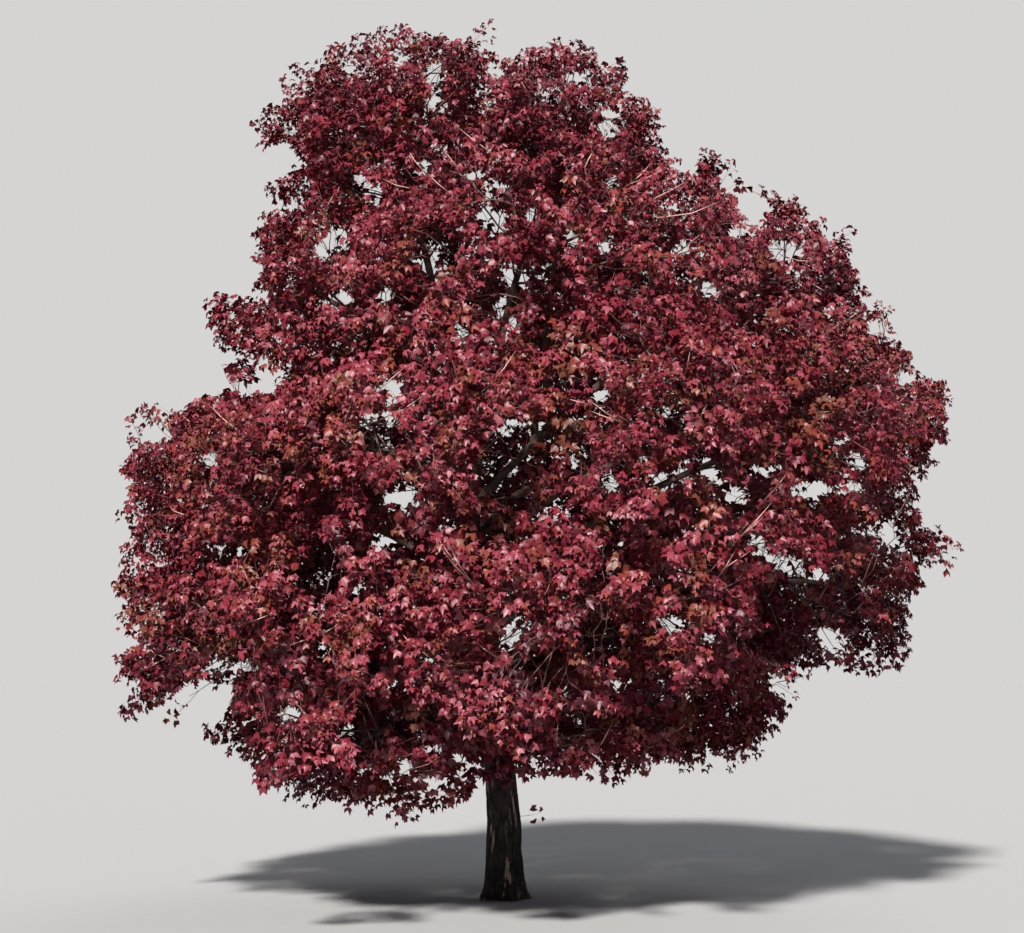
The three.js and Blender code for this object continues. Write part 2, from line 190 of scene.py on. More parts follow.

# How the crown looks from EYE, in the same plane: the places where the sky shows through it, as
# (x, z, half width, half height), the notches in its outline and the hollows that are open in
# front and dark behind, as (x, z, radius), and the line where its leaves end, thinned out and
# smoothed from measured heights.
EYE = np.array((0.058, -13.8, 1.64))
SKY_GAPS = (
    (-1.15, 6.12, 0.06, 0.09), (-0.52, 6.04, 0.08, 0.08), (-0.5, 5.83, 0.08, 0.09),
    (-0.07, 6.06, 0.05, 0.05), (0.55, 6.01, 0.13, 0.06), (0.79, 5.65, 0.1, 0.12),
    (-0.05, 5.41, 0.05, 0.05), (-0.21, 5.27, 0.07, 0.05), (-0.6, 5.34, 0.06, 0.06),
    (-0.97, 5.14, 0.09, 0.07), (-1.08, 5.24, 0.06, 0.08), (-0.07, 5.18, 0.1, 0.09),
    (-0.09, 4.93, 0.1, 0.13), (0.21, 4.98, 0.05, 0.07), (-1.3, 4.73, 0.14, 0.09),
    (-1.55, 5.05, 0.06, 0.06), (-1.47, 5.24, 0.05, 0.05), (-0.56, 4.61, 0.08, 0.12),
    (-0.88, 4.38, 0.06, 0.06), (-1.23, 4.34, 0.14, 0.06), (0.08, 4.51, 0.12, 0.1),
    (0.26, 4.54, 0.08, 0.07), (-0.01, 4.29, 0.05, 0.09), (0.09, 4.18, 0.05, 0.05),
    (-0.32, 4.1, 0.08, 0.08), (0.48, 4.8, 0.05, 0.07), (0.81, 5.22, 0.05, 0.05),
    (0.73, 4.74, 0.05, 0.05), (1.35, 4.74, 0.08, 0.06), (1.73, 4.85, 0.08, 0.06),
    (2.08, 4.69, 0.12, 0.09), (1.53, 4.41, 0.08, 0.06), (-1.79, 4.36, 0.08, 0.05),
    (-0.83, 3.71, 0.12, 0.07), (-1.81, 3.69, 0.26, 0.06), (0.72, 3.63, 0.06, 0.06),
    (1.18, 3.49, 0.05, 0.05), (-2.15, 3.15, 0.09, 0.08), (-2.55, 3.34, 0.11, 0.05),
    (-0.72, 2.87, 0.16, 0.08), (-0.86, 2.54, 0.09, 0.08), (-1.34, 2.08, 0.06, 0.05),
    (-1.08, 2.18, 0.05, 0.05), (0.08, 3.12, 0.06, 0.06), (0.52, 3.14, 0.06, 0.06),
    (0.76, 2.96, 0.07, 0.08), (1.02, 3.17, 0.06, 0.05), (1.15, 3.0, 0.07, 0.06),
    (1.3, 3.07, 0.07, 0.08), (1.51, 3.07, 0.08, 0.07), (1.69, 2.89, 0.09, 0.1), (1.9, 3.08, 0.13, 0.07),
    (2.26, 2.93, 0.17, 0.08), (2.53, 2.93, 0.1, 0.06), (2.59, 3.12, 0.07, 0.08),
    (2.5, 3.29, 0.06, 0.06), (2.79, 2.6, 0.09, 0.1), (1.86, 2.51, 0.08, 0.1), (2.09, 2.37, 0.16, 0.07),
    (2.3, 2.3, 0.08, 0.07), (1.22, 1.94, 0.11, 0.08), (1.48, 1.84, 0.06, 0.09),
    (0.03, 1.88, 0.09, 0.08), (0.15, 1.91, 0.06, 0.06), (-0.03, 1.76, 0.05, 0.05),
    (-2.1, 1.66, 0.14, 0.08), (-1.88, 1.63, 0.09, 0.09), (-1.55, 1.31, 0.09, 0.07),
    (2.37, 1.84, 0.14, 0.1), (2.63, 1.72, 0.08, 0.07), (-0.5, 1.05, 0.11, 0.05),
    (-0.32, 1.0, 0.08, 0.05), (-0.99, 0.91, 0.07, 0.05), (-0.84, 0.84, 0.07, 0.05),
    (-0.7, 0.93, 0.07, 0.05), (-0.58, 0.84, 0.06, 0.04), (-0.44, 0.82, 0.07, 0.04),
    (0.08, 2.03, 0.05, 0.08), (0.06, 1.73, 0.05, 0.07), (-2.03, 1.5, 0.11, 0.09),
    (0.78, 1.49, 0.08, 0.06), (-2.1, 2.5, 0.09, 0.06), (-1.92, 2.47, 0.05, 0.05),
    (1.97, 1.53, 0.1, 0.08), (2.17, 1.47, 0.08, 0.08), (-1.34, 1.76, 0.08, 0.06),
    (-0.56, 1.71, 0.07, 0.06), (-0.8, 1.5, 0.08, 0.05), (0.92, 1.51, 0.06, 0.05),
    (-1.15, 1.18, 0.06, 0.06),
)
NOTCHES = (
    (-1.68, 5.41, 0.1), (-1.92, 4.74, 0.08), (-1.98, 4.49, 0.12), (-2.14, 3.74, 0.1),
    (-2.28, 3.73, 0.13), (-2.44, 3.62, 0.12), (-2.82, 3.22, 0.07), (-2.82, 2.63, 0.1),
    (-2.9, 1.82, 0.15), (-2.17, 1.4, 0.12), (1.83, 5.06, 0.12), (3.1, 2.94, 0.08), (2.73, 4.13, 0.06),
    (2.95, 3.76, 0.06), (3.17, 3.22, 0.06), (2.16, 1.3, 0.09), (2.38, 1.56, 0.12), (3.14, 2.2, 0.07),
    (1.66, 5.22, 0.07), (1.26, 5.56, 0.05), (3.16, 2.31, 0.07), (-2.88, 2.31, 0.07), (-2.9, 1.62, 0.07),
    (-1.84, 4.56, 0.06), (-2.26, 3.97, 0.12), (-2.09, 1.38, 0.1), (-2.28, 1.46, 0.08),
    (-2.97, 2.12, 0.13),
)
HOLLOWS = (
    (0.0, 3.06, 0.17), (0.14, 3.24, 0.21), (-0.5, 4.72, 0.14), (0.02, 4.42, 0.14), (-0.9, 3.34, 0.16),
    (2.16, 2.2, 0.18), (-1.34, 2.32, 0.15), (0.7, 1.86, 0.15), (0.33, 1.64, 0.14), (-0.98, 1.2, 0.15),
    (0.52, 1.2, 0.14), (1.96, 2.1, 0.13), (2.42, 2.14, 0.15), (2.2, 1.9, 0.16), (1.94, 1.82, 0.12),
    (2.56, 1.9, 0.13),
)
HOLLOW_BEHIND = -0.3         # they are open in front of this depth
HOLLOW_BACK = (0.5, 1.9)     # the sprays that darken them stand between these depths
HOLLOW_BACK_SPRAYS = 12
HOLLOW_BACK_WIDTH = 1.2      # as a share of the hollow's
LOWER_EDGE = (
    (-2.9, 1.28), (-2.4, 1.24), (-2.28, 1.08), (-1.85, 0.97), (-1.72, 0.62), (-1.55, 0.53),
    (-1.3, 0.68), (-1.12, 0.58), (-0.83, 0.46), (-0.58, 0.53), (-0.4, 0.64), (-0.2, 0.74), (0.04, 0.77),
    (0.24, 0.88), (0.5, 0.86), (0.76, 0.76), (0.95, 0.86), (1.5, 0.88), (1.8, 0.87), (1.93, 1.05),
    (2.1, 1.1), (2.24, 1.38), (2.46, 1.58), (2.6, 1.52), (2.8, 1.52), (2.92, 1.7), (3.1, 1.95),
)
FRINGE = 0.30                # how far above that line there are small openings
FRINGE_OPEN = (0.22, 0.8)    # the speckle that opens it, at the line and so much more at its top

# The edges of all these are broken up by a speckle, a pattern from -1 to 1: its waves along and
# across, and how they wobble, in radians a metre, and how far it moves each kind of edge.
SPECKLE_WAVES = ((53, 16, 28), (48, -21, 36))
SPECKLE_WOBBLE = 2
LOWER_EDGE_SPECKLE = 0.04
GAP_SPECKLE = 0.7
NOTCH_SPECKLE = 0.3
HOLLOW_SPECKLE = (4, 4.2)

# Sprays between neighbouring masses, so that no side of the crown shows an open seam.
SEAM_REACH = 1.75
SEAM_POINTS = 60
SEAM_SHARE = (0.3, 0.7)      # how far they stand from the one mass to the other
SEAM_OUTWARDS = 0.30
SEAM_SCATTER = 0.24
SEAM_CLEAR = 0.17
SKIN_ANGLE = 9.0             # in degrees, how wide the crown's skin is judged round a tip

# Sprays that close sight lines through the crown, seen from these bearings and heights in degrees.
SIGHT_BEARINGS = range(40, 321, 20)
SIGHT_HEIGHTS = (3, 14, 26, 45)
SIGHT_CELL = 0.065
SIGHT_MARGIN = 2             # cells round the crown
SIGHT_NEAR = 0.30
SIGHT_WALL = 8               # sprays that must stand on each side of a spot that is closed
SIGHT_SPRAYS = 6             # sprays that close it
SIGHT_DEPTH = (55, 90)       # in percent of the sprays beside it, from far to near

# Pale twigs that stand clear of the leaves on every side of the crown.
BARE_TWIGS_ON_MASS = 6
BARE_TWIG_RADIUS = 0.0040
BARE_TWIG_LENGTH = 0.17
BARE_TWIG_CLEAR = 0.036
BARE_TWIG_ACROSS = 0.75      # at most so far along the way out of the crown
BARE_TWIG_OUTSIDE = 0.5      # at least so far out in its mass
BARE_TWIG_SHOOTS = 11        # it feeds fewer shoots than this
BARE_TWIG_STEEPNESS = (0.05, 4)  # the least rise that counts, and the power of its pull
BARE_TWIG_SHOWS = (0.45, 0.47)   # the middle and half the length of what shows, as shares
BARE_TWIG_BURIED = 0.02

# A small shoot low on the right of the trunk.
TRUNK_SHOOT_FROM = 0.575
TRUNK_SHOOT_TIP = (0.262, -0.03, 0.60)
TRUNK_SHOOT_WAYS = ((1.0, -0.1, 0.25), (0.8, -0.1, 0.4))
TRUNK_SHOOT_BURIED = 0.9     # it starts at this share of the trunk's radius
TRUNK_SHOOT_PAIRS = (1, 3)
TRUNK_SHOOT_SIZE = 0.8

# Leaves in opposite pairs, from the tip of a shoot back. Each pair stands at a right angle to the
# pair before it.
PAIR_BACK = (0.003, 0.023, 0.053, 0.090, 0.134, 0.184)
PAIR_SPREAD = (34, 50, 60, 66, 70, 74)
STALK_LENGTH = (0.022, 0.036, 0.048, 0.056, 0.060, 0.060)
BLADE_SIZE = (0.041, 0.054, 0.061, 0.064, 0.061, 0.057)
PAIR_SHARE = (1.0, 1.0, 1.0, 0.95, 0.82, 0.55)
STALK_WIDTH = 0.0024
LEAVES_KEPT = 0.96
YOUNG_SHARE = 0.25           # of the leaves behind a spray's first pair, as bright as that pair
PAIRS_FROM = 0.1             # no pair stands nearer a shoot's foot, as a share of its length
LEAF_SIZE = (1.04, 0.81)     # beside the sizes above: in the shade inside a mass, and at its skin
SKIN_FROM = (0.1, 0.8)       # between these shares of the way out through a mass
SMALLER_ABOVE = (1.08, 0.88)  # and at the ground, and at the crown's top
VIGOUR = (0.8, 1.15)         # of a spray beside the others
SIZE_SCATTER = (0.82, 1.15)
STALK_SCATTER = (0.75, 1.2)
STALK_LIFT = 0.22
PAIR_TURN_SCATTER = 0.25     # in radians
PAIR_SPREAD_SCATTER = 9
LEAF_TILT = 0.35
SPRAY_TILT = 0.29
LEAF_DROOP = 0.55
DROOP_SCATTER = (0.4, 1.6)
LEVELLED_POINT = 0.4         # the share of its stalk's rise that a blade keeps
FACING_UP = 0.8
FACING_OUT = (0.75, 0.25)    # how far blades turn outwards, at the ground and at the top

# Blades about one unit long: the lowest lobe, the side lobe and the cleft above it on the right,
# as (across, along), how far a blade folds, droops and is creased, and how unlike they are.
BLADE_KINDS = 14
BLADE_HALF = ((0.42, -0.09), (0.58, 0.38), (0.25, 0.51))
BLADE_HALF_SCATTER = 0.025
BLADE_TIP_SCATTER = 0.04
BLADE_LENGTH = (0.90, 1.02)
BLADE_FOLD = (0.1, 0.6)
BLADE_DROOP = (0.2, 0.6)
BLADE_DROOP_POWER = 2.2
BLADE_CREASE = (0.06, 0.18)
BLADE_PLEAT = 0.07

# ==== Small geometry helpers ====


def unit(vectors):
    """The vectors at length one."""
    length = np.linalg.norm(vectors, axis=-1, keepdims=True)
    return vectors / np.maximum(length, 1e-9)


def lengths(vectors):
    """How long each vector is."""
    return np.linalg.norm(vectors, axis=-1)


def dot(first, second):
    """The dot product of each vector and its fellow."""
    return np.einsum("...k,...k->...", first, second)


def smooth_step(value, low, high):
    """Rises smoothly from 0 at low to 1 at high."""
    share = np.clip((value - low) / (high - low), 0.0, 1.0)
    return share * share * (3 - 2 * share)


def bend(start, leaving, end, arriving, share):
    """Places and headings on smooth curves, one curve a row, at the shares of its length."""
    chord = np.linalg.norm(end - start, axis=-1, keepdims=True)[:, None]
    t = share[..., None]
    start, leaving, end, arriving = (row[:, None] for row in (start, leaving, end, arriving))
    place = (
        (2 * t**3 - 3 * t**2 + 1) * start
        + (t**3 - 2 * t**2 + t) * chord * leaving
        + (3 * t**2 - 2 * t**3) * end
        + (t**3 - t**2) * chord * arriving
    )
    heading = (
        (6 * t**2 - 6 * t) * (start - end)
        + (3 * t**2 - 4 * t + 1) * chord * leaving
        + (3 * t**2 - 2 * t) * chord * arriving
    )
    return place, unit(heading)


def travelled_along(line):
    """How far along a line each of its points lies."""
    return np.concatenate(((0,), np.cumsum(lengths(np.diff(line, axis=0)))))


def places_along(line, reach):
    """The places that lie so far along a line."""
    travelled = travelled_along(line)
    return np.array([np.interp(reach, travelled, line[:, k]) for k in range(3)]).T


def triangles_of(name):
    """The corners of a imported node's triangles, as an (n, 3, 3) array."""
    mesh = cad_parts[name].data
    mesh.calc_loop_triangles()
    corners = np.empty(len(mesh.loop_triangles) * 3, dtype=np.int32)
    mesh.loop_triangles.foreach_get("vertices", corners)
    places = np.empty(len(mesh.vertices) * 3)
    mesh.vertices.foreach_get("co", places)
    return places.reshape(-1, 3)[corners].reshape(-1, 3, 3)


def section(triangles, axis, distance):
    """Where the triangles' edges cross the plane that lies at a distance along an axis."""
    starts = triangles.reshape(-1, 3)
    ends = np.roll(triangles, -1, axis=1).reshape(-1, 3)
    before = starts @ axis - distance
    after = ends @ axis - distance
    crossing = before * after < 0
    share = before[crossing] / (before[crossing] - after[crossing])
    return starts[crossing] + share[:, None] * (ends - starts)[crossing]


def rings_of(triangles, axis, distances):
    """The middles and the mean radii of the sections at distances along an axis."""
    cuts = [section(triangles, axis, distance) for distance in distances]
    middles = np.array([cut.mean(axis=0) for cut in cuts])
    radii = np.array([lengths(cut - middle).mean() for cut, middle in zip(cuts, middles)])
    return middles, radii


def spread_out(points, count, evenness):
    """Row numbers of points picked one by one, each as far as it can be from those before it."""
    weight = chance.uniform(evenness, 1, len(points))
    picked = [int(np.argmax(weight))]
    gap = lengths(points - points[picked[0]])
    while len(picked) < min(count, len(points)):
        picked.append(int(np.argmax(gap * weight)))
        gap = np.minimum(gap, lengths(points - points[picked[-1]]))
    return np.array(picked)


# ==== Limbs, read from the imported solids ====


def limb_line(name):
    """The centre line of a bough or leader and its radii, from inside its parent to its tip."""
    triangles = triangles_of(name)
    corners = triangles.reshape(-1, 3)
    axis = np.linalg.svd(corners - corners.mean(axis=0), full_matrices=False)[2][0]
    reach = corners @ axis
    length = reach.max() - reach.min()
    shares = np.linspace(*LIMB_CUTS, LIMB_STATIONS)
    line, radii = rings_of(triangles, axis, reach.min() + shares * length)
    taper = np.polyfit(shares, radii, 1)
    if taper[0] > 0:
        line, taper, shares = line[::-1], np.array((-taper[0], taper.sum())), 1 - shares[::-1]
    root = line[0] - unit(line[1] - line[0]) * (shares[0] * length + ROOT_BURIED)
    tip = line[-1] + unit(line[-1] - line[-2]) * (1 - shares[-1]) * length
    line = np.vstack((root, line, tip))
    radii = np.polyval(taper, np.concatenate(((0,), shares, (1,))))
    past_root = np.maximum(travelled_along(line) - ROOT_BURIED, 0)
    radii = radii * (1 + COLLAR_SWELL * np.exp(-past_root / (COLLAR_LENGTH * radii[0])))
    return line, radii


def trunk_line():
    """The trunk's centre line and radii, from the flat cut at the ground to a dome at the fork."""
    triangles = triangles_of("trunk")
    height = triangles[:, :, 2].max()
    levels = height * np.linspace(TRUNK_LOWEST_CUT, 1, TRUNK_STATIONS) ** TRUNK_CUTS_LOW
    levels[-1] = height - TRUNK_TOP_CUT
    line, radii = rings_of(triangles, UP, levels)
    foot = np.array((line[0][0], line[0][1], 0.0))
    rise = unit(line[-1] - line[-2])
    heights, widths = np.transpose(TRUNK_DOME_SHAPE)
    dome = np.array([line[-1] + rise * TRUNK_DOME * share for share in heights])
    line = np.vstack((foot, line, dome))
    return line, np.concatenate(((radii[0] * TRUNK_FOOT_SWELL,), radii, radii[-1] * widths))


# ==== Where the sprays of leaves stand ====


def fill_of(name):
    """What a leaf mass fills."""
    triangles = triangles_of(name)
    middle = triangles.reshape(-1, 3).mean(axis=0)
    for _ in range(2):
        edges = triangles - middle
        shares = dot(edges[:, 0], np.cross(edges[:, 1], edges[:, 2])) / 6
        centres = (triangles.sum(axis=1) + middle) / 4
        middle = (shares[:, None] * centres).sum(axis=0) / shares.sum()
    return Fill(middle, shares.sum(), triangles, np.maximum(shares, 0))


def middles_of(fills):
    """The middles of the leaf masses, a row each."""
    return np.array([fill.middle for fill in fills.values()])


def points_inside(fill, count, crown_middle):
    """Places strewn through a mass, drawn in from the crown's skin and past its neighbours' seams."""
    middle = fill.middle
    likely = fill.shares / fill.shares.sum()
    picked = chance.choice(len(fill.triangles), size=count, p=likely)
    corner_share = chance.dirichlet((1, 1, 1), size=count)
    on_skin = np.einsum("ij,ijk->ik", corner_share, fill.triangles[picked])
    depth = chance.random(count)[:, None] ** (1 / CROWDED_OUT)
    away = np.linalg.norm(on_skin - middle, axis=1, keepdims=True)
    facing = dot(unit(on_skin - middle), unit(on_skin - crown_middle))
    outer = smooth_step(facing, *FACING_SKIN)[:, None]
    drawn_in = SPRAY_INSET * outer - SEAM_OVERLAP * (1 - outer)
    return middle + (on_skin - middle) * depth * (1 - drawn_in / away)


def tuft(tip, inwards):
    """The spray tips of one tuft, strewn round its tip and back into the crown."""
    strewn = chance.normal(0, TUFT_RADIUS / TUFT_SCATTER, (TUFT_SPRAYS, 3))
    return tip + strewn + inwards * np.abs(strewn).sum(axis=1, keepdims=True) * TUFT_TRAIL


def tufts_on(fill, crown_middle):
    """Spray tips of the tufts that stand out from a mass, on its outer side."""
    centres = fill.triangles.mean(axis=1)
    outwards = unit(centres - fill.middle)
    outer = dot(outwards, unit(centres - crown_middle)) > TUFT_FACING
    outer_centres, outer_ways = centres[outer], outwards[outer]
    picked = spread_out(outer_centres, TUFTS_ON_MASS, TUFT_EVENNESS)
    tips = outer_centres[picked] + outer_ways[picked] * chance.uniform(*TUFT_PROUD, (len(picked), 1))
    return [tuft(tip, -way) for tip, way in zip(tips, outer_ways[picked])]


def outline_tufts(fills, crown_middle):
    """The spray tips, by mass, of the tufts on the outline and low in front."""
    middles = middles_of(fills)
    tufts = {mass: [] for mass in fills}
    for x, z in OUTLINE_TUFTS:
        away = (middles - (x, crown_middle[1], z)) * (1, TUFT_DEPTH_COUNTS, 1)
        nearest = int(lengths(away).argmin())
        depth = (1 - TUFT_DEPTH) * crown_middle[1] + TUFT_DEPTH * middles[nearest][1]
        tip = np.array((x, depth, z))
        tufts[list(fills)[nearest]].append(tuft(tip, unit(middles[nearest] - tip)))
    for x, z in SKIRT_TUFTS:
        tip = seen_from(np.array((x, 0, z)), SKIRT_TUFT_DEPTH)
        nearest = int(lengths(middles - tip).argmin())
        tufts[list(fills)[nearest]].append(tuft(tip, unit(middles[nearest] - tip)))
    return tufts


def spray_tips(fill, crown_middle):
    """Where the sprays of one mass end: crowded into flat clumps, and most on its outer side."""
    *heights, more = DENSER_ABOVE
    denser = 1 + more * smooth_step(fill.middle[2], *heights)
    count = round(fill.volume * SPRAYS_PER_CUBIC_METRE * denser)
    strewn = points_inside(fill, count * CANDIDATES_PER_SPRAY, crown_middle)
    outwards = unit(fill.middle - crown_middle)
    reach = (strewn - fill.middle) @ outwards
    outer = smooth_step(reach, INNER_FROM * reach.std(), reach.std())
    wanted = INNER_SHARE + (1 - INNER_SHARE) * outer
    strewn = strewn[chance.random(len(strewn)) < wanted]
    stretched = strewn * (1, 1, CLUMP_FLATNESS)
    clump_count = round(fill.volume * CLUMPS_PER_CUBIC_METRE)
    clumps = spread_out(stretched, clump_count, CLUMP_EVENNESS)
    sizes = chance.uniform(*CLUMP_RADIUS, len(clumps))
    away = lengths(stretched[:, None] - stretched[clumps][None]) / sizes
    crowded = (away.min(axis=1) < 1) | (chance.random(len(strewn)) < STRAY_SHARE)
    strewn = strewn[crowded]
    return strewn[spread_out(strewn, count, SPRAY_EVENNESS)]


def how_far_out(places, fill, crown_middle):
    """0 at the middle of a mass and 1 at its skin, going away from the crown's middle."""
    ways = unit(places - crown_middle)
    to_skin = ((fill.triangles.mean(axis=1) - fill.middle) @ ways.T).max(axis=0)
    return dot(places - fill.middle, ways) / to_skin


def within_the_skin(places, skin, crown_middle):
    """Marks the places that the crown's skin, in the same direction, lies outside of."""
    reach = lengths(skin - crown_middle)
    alike = unit(places - crown_middle) @ unit(skin - crown_middle).T
    limit = np.where(alike > math.cos(math.radians(SKIN_ANGLE)), reach, 0).max(axis=1)
    return lengths(places - crown_middle) < limit - SPRAY_INSET


def seam_tips(fills, tips_of_mass, crown_middle):
    """More spray tips, by mass, for the bare seams between masses that are neighbours."""
    middles = middles_of(fills)
    strewn = []
    for first in range(len(fills)):
        for second in range(first + 1, len(fills)):
            if np.linalg.norm(middles[first] - middles[second]) < SEAM_REACH:
                share = chance.uniform(*SEAM_SHARE, (SEAM_POINTS, 1))
                between = middles[first] * share + middles[second] * (1 - share)
                outwards = unit(between - crown_middle)
                outwards *= chance.uniform(0, SEAM_OUTWARDS, (SEAM_POINTS, 1))
                strewn.append(between + outwards + chance.normal(0, SEAM_SCATTER, between.shape))
    strewn = np.vstack(strewn)
    skin = np.vstack([fill.triangles.mean(axis=1) for fill in fills.values()])
    strewn = strewn[within_the_skin(strewn, skin, crown_middle)]
    grown = np.vstack(list(tips_of_mass.values()))
    clear = np.array([lengths(grown - tip).min() for tip in strewn])
    strewn = strewn[clear > SEAM_CLEAR]
    apart = []
    for tip in strewn:
        if all(np.linalg.norm(tip - other) > SEAM_CLEAR for other in apart):
            apart.append(tip)
    strewn = np.array(apart)
    owner = lengths(strewn[:, None] - middles[None]).argmin(axis=1)
    return {name: strewn[owner == number] for number, name in enumerate(fills)}


def closing_tips(tips, bearing, height):
    """Spray tips that close the sight lines through the crown from one side, on its near surface."""
    turn, lift = math.radians(bearing), math.radians(height)
    rightward = np.array((math.cos(turn), math.sin(turn), 0))
    level = math.cos(lift)
    toward = np.array((math.sin(turn) * level, -math.cos(turn) * level, math.sin(lift)))
    upward = np.cross(toward, rightward)
    across = np.column_stack((tips @ rightward, tips @ upward))
    low = across.min(axis=0) - SIGHT_MARGIN * SIGHT_CELL
    cells = ((across - low) / SIGHT_CELL).astype(int)
    seen = np.zeros(cells.max(axis=0) + 2 * SIGHT_MARGIN, dtype=int)
    np.add.at(seen, tuple(cells.T), 1)
    window = sum(np.roll(seen, (x, z), axis=(0, 1)) for x in (-1, 0, 1) for z in (-1, 0, 1))
    walled = np.ones(seen.shape, dtype=bool)
    for axis in (0, 1):
        walled &= np.cumsum(seen, axis=axis) > SIGHT_WALL
        walled &= np.flip(np.cumsum(np.flip(seen, axis=axis), axis=axis), axis=axis) > SIGHT_WALL
    closing = []
    for column, row in np.argwhere(walled & (window < SIGHT_SPRAYS)):
        if window[column, row] < SIGHT_SPRAYS:
            spot = low + (np.array((column, row)) + 0.5) * SIGHT_CELL
            beside = lengths(across - spot) < SIGHT_NEAR
            if beside.any():
                depth = np.percentile(tips[beside] @ toward, chance.uniform(*SIGHT_DEPTH))
                closing.append(spot[0] * rightward + spot[1] * upward + depth * toward)
                window[column - 1:column + 2, row - 1:row + 2] += 1
    return closing


def inner_tips(line):
    """Where the few sprays inside the crown end, round the bare stretch of a limb."""
    length = travelled_along(line)[-1]
    count = round(length * INNER_SPRAYS_PER_METRE)
    reach = chance.uniform(INNER_BRANCHES_AT[0], 1, count) * length
    beside = unit(chance.normal(size=(count, 3)) + UP * INNER_LIFT)
    feet = places_along(line, reach)
    return feet + beside * chance.uniform(*INNER_REACH, count)[:, None]


# ==== Growing the wood ====


def speckle_at(x, z):
    """A pattern of small uneven spots, from -1 to 1, in the upright plane through the trunk."""
    pattern = 1.0
    for (along, across, wobble), first, second in zip(SPECKLE_WAVES, (x, z), (z, x)):
        bent = SPECKLE_WOBBLE * np.sin(wobble * second)
        pattern = pattern * np.sin(along * first + across * second + bent)
    return pattern


def seen_from(place, depth):
    """Where a place in the upright plane through the trunk, as seen from EYE, lies at a depth."""
    return EYE + (place - EYE) * (1 - depth / EYE[1])


def in_a_gap(places):
    """Marks the places that would close a gap, notch or hollow of the crown, or hang below it."""
    sight = (places - EYE) / (places[:, 1:2] - EYE[1])
    seen_x, _, seen_z = (EYE - sight * EYE[1]).T
    speckle = speckle_at(seen_x, seen_z)
    above_edge = seen_z - np.interp(seen_x, *np.transpose(LOWER_EDGE))
    open_here = above_edge < LOWER_EDGE_SPECKLE * speckle
    open_here |= speckle > FRINGE_OPEN[0] + FRINGE_OPEN[1] * above_edge / FRINGE
    for x, z, half_width, half_height in SKY_GAPS:
        away = np.hypot((seen_x - x) / half_width, (seen_z - z) / half_height)
        open_here |= speckle > away**2 - GAP_SPECKLE
    for x, z, radius in NOTCHES:
        away = np.hypot(seen_x - x, seen_z - z)
        open_here |= away < radius * (1 + NOTCH_SPECKLE * speckle)
    for x, z, radius in HOLLOWS:
        away = np.hypot(seen_x - x, seen_z - z) / radius
        inside = speckle > HOLLOW_SPECKLE[0] * away - HOLLOW_SPECKLE[1]
        open_here |= inside & (places[:, 1] < HOLLOW_BEHIND)
    return open_here


def inside_the_box(places):
    """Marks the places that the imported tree's box holds, or nearly."""
    return np.all((places > BOX_LOW - PAST_BOX) & (places < BOX_HIGH + PAST_BOX), axis=1)


def clear_of_gaps(places):
    """Marks the places that close nothing that is open."""
    return ~in_a_gap(places)


def in_company(places):
    """Marks the places that have enough others near them."""
    reach, enough = LONELY
    near = [(lengths(places - place) < reach).sum() for place in places]
    return np.array(near) > enough


def hollow_backs():
    """Spray tips well behind the hollows, so that the hollows look dark."""
    tips = []
    for x, z, radius in HOLLOWS:
        depth = chance.uniform(*HOLLOW_BACK, HOLLOW_BACK_SPRAYS)
        across = chance.uniform(-1, 1, (2, HOLLOW_BACK_SPRAYS)) * radius * HOLLOW_BACK_WIDTH
        seen = np.column_stack((x + across[0], np.zeros(HOLLOW_BACK_SPRAYS), z + across[1]))
        tips.append(seen_from(seen, depth[:, None]))
    return np.vstack(tips)


def thickness(shoots):
    """The radius of wood that feeds a number of shoots."""
    return SHOOT_RADIUS * shoots**PIPE_POWER


def columns_of(stems):
    """Starts, headings there, ends, headings there, shoots fed and bareness, each as an array."""
    return [np.array(column) for column in zip(*stems)]


def grow(start, heading, tips, stems):
    """Grows a stem from a place towards a group of spray tips, and forks until each has a shoot."""
    if len(tips) == 1:
        arriving = unit(unit(tips[0] - start) + UP * SHOOT_LIFT)
        stems.append(Stem(start, heading, tips[0], arriving, 1))
        return
    middle = tips.mean(axis=0)
    way = middle - start
    length = np.linalg.norm(way)
    sway = chance.normal(0, FORK_SWAY * length, 3)
    fork = start + way * chance.uniform(*FORK_AT) + sway
    arriving = unit(FORK_ONWARD * heading + unit(fork - start) + FORK_TO_MIDDLE * unit(way))
    stems.append(Stem(start, heading, fork, arriving, len(tips)))
    spread = tips - middle
    widest = np.linalg.svd(spread, full_matrices=False)[2][0]
    along = spread @ widest
    cut = np.median(along)
    if len(tips) > 3:
        cut = np.sort(along)[int(len(tips) * chance.uniform(*FORK_SPLIT))]
    nearer = along < cut
    if nearer.all() or not nearer.any():
        nearer = np.arange(len(tips)) < len(tips) // 2
    for group in (tips[nearer], tips[~nearer]):
        leaving = unit(arriving + FORK_OPENING * unit(group.mean(axis=0) - fork))
        grow(fork, leaving, group, stems)


def pick_bare_twigs(stems, fill, crown_middle):
    """Row numbers of the straight twigs near a mass's skin that lie across the way out of it."""
    start, _, end, _, shoots, _ = columns_of(stems)
    middle, way = (start + end) / 2, unit(end - start)
    along = np.abs(dot(way, unit(middle - crown_middle)))
    fits = (along < BARE_TWIG_ACROSS) & (shoots < BARE_TWIG_SHOOTS)
    fits &= lengths(end - start) > BARE_TWIG_LENGTH
    fits &= how_far_out(middle, fill, crown_middle) > BARE_TWIG_OUTSIDE
    fitting = np.flatnonzero(fits)
    least, power = BARE_TWIG_STEEPNESS
    steepness = np.maximum(way[fitting, 2], least) ** power
    count = min(BARE_TWIGS_ON_MASS, len(fitting))
    if not count:
        return fitting
    return chance.choice(fitting, count, replace=False, p=steepness / steepness.sum())


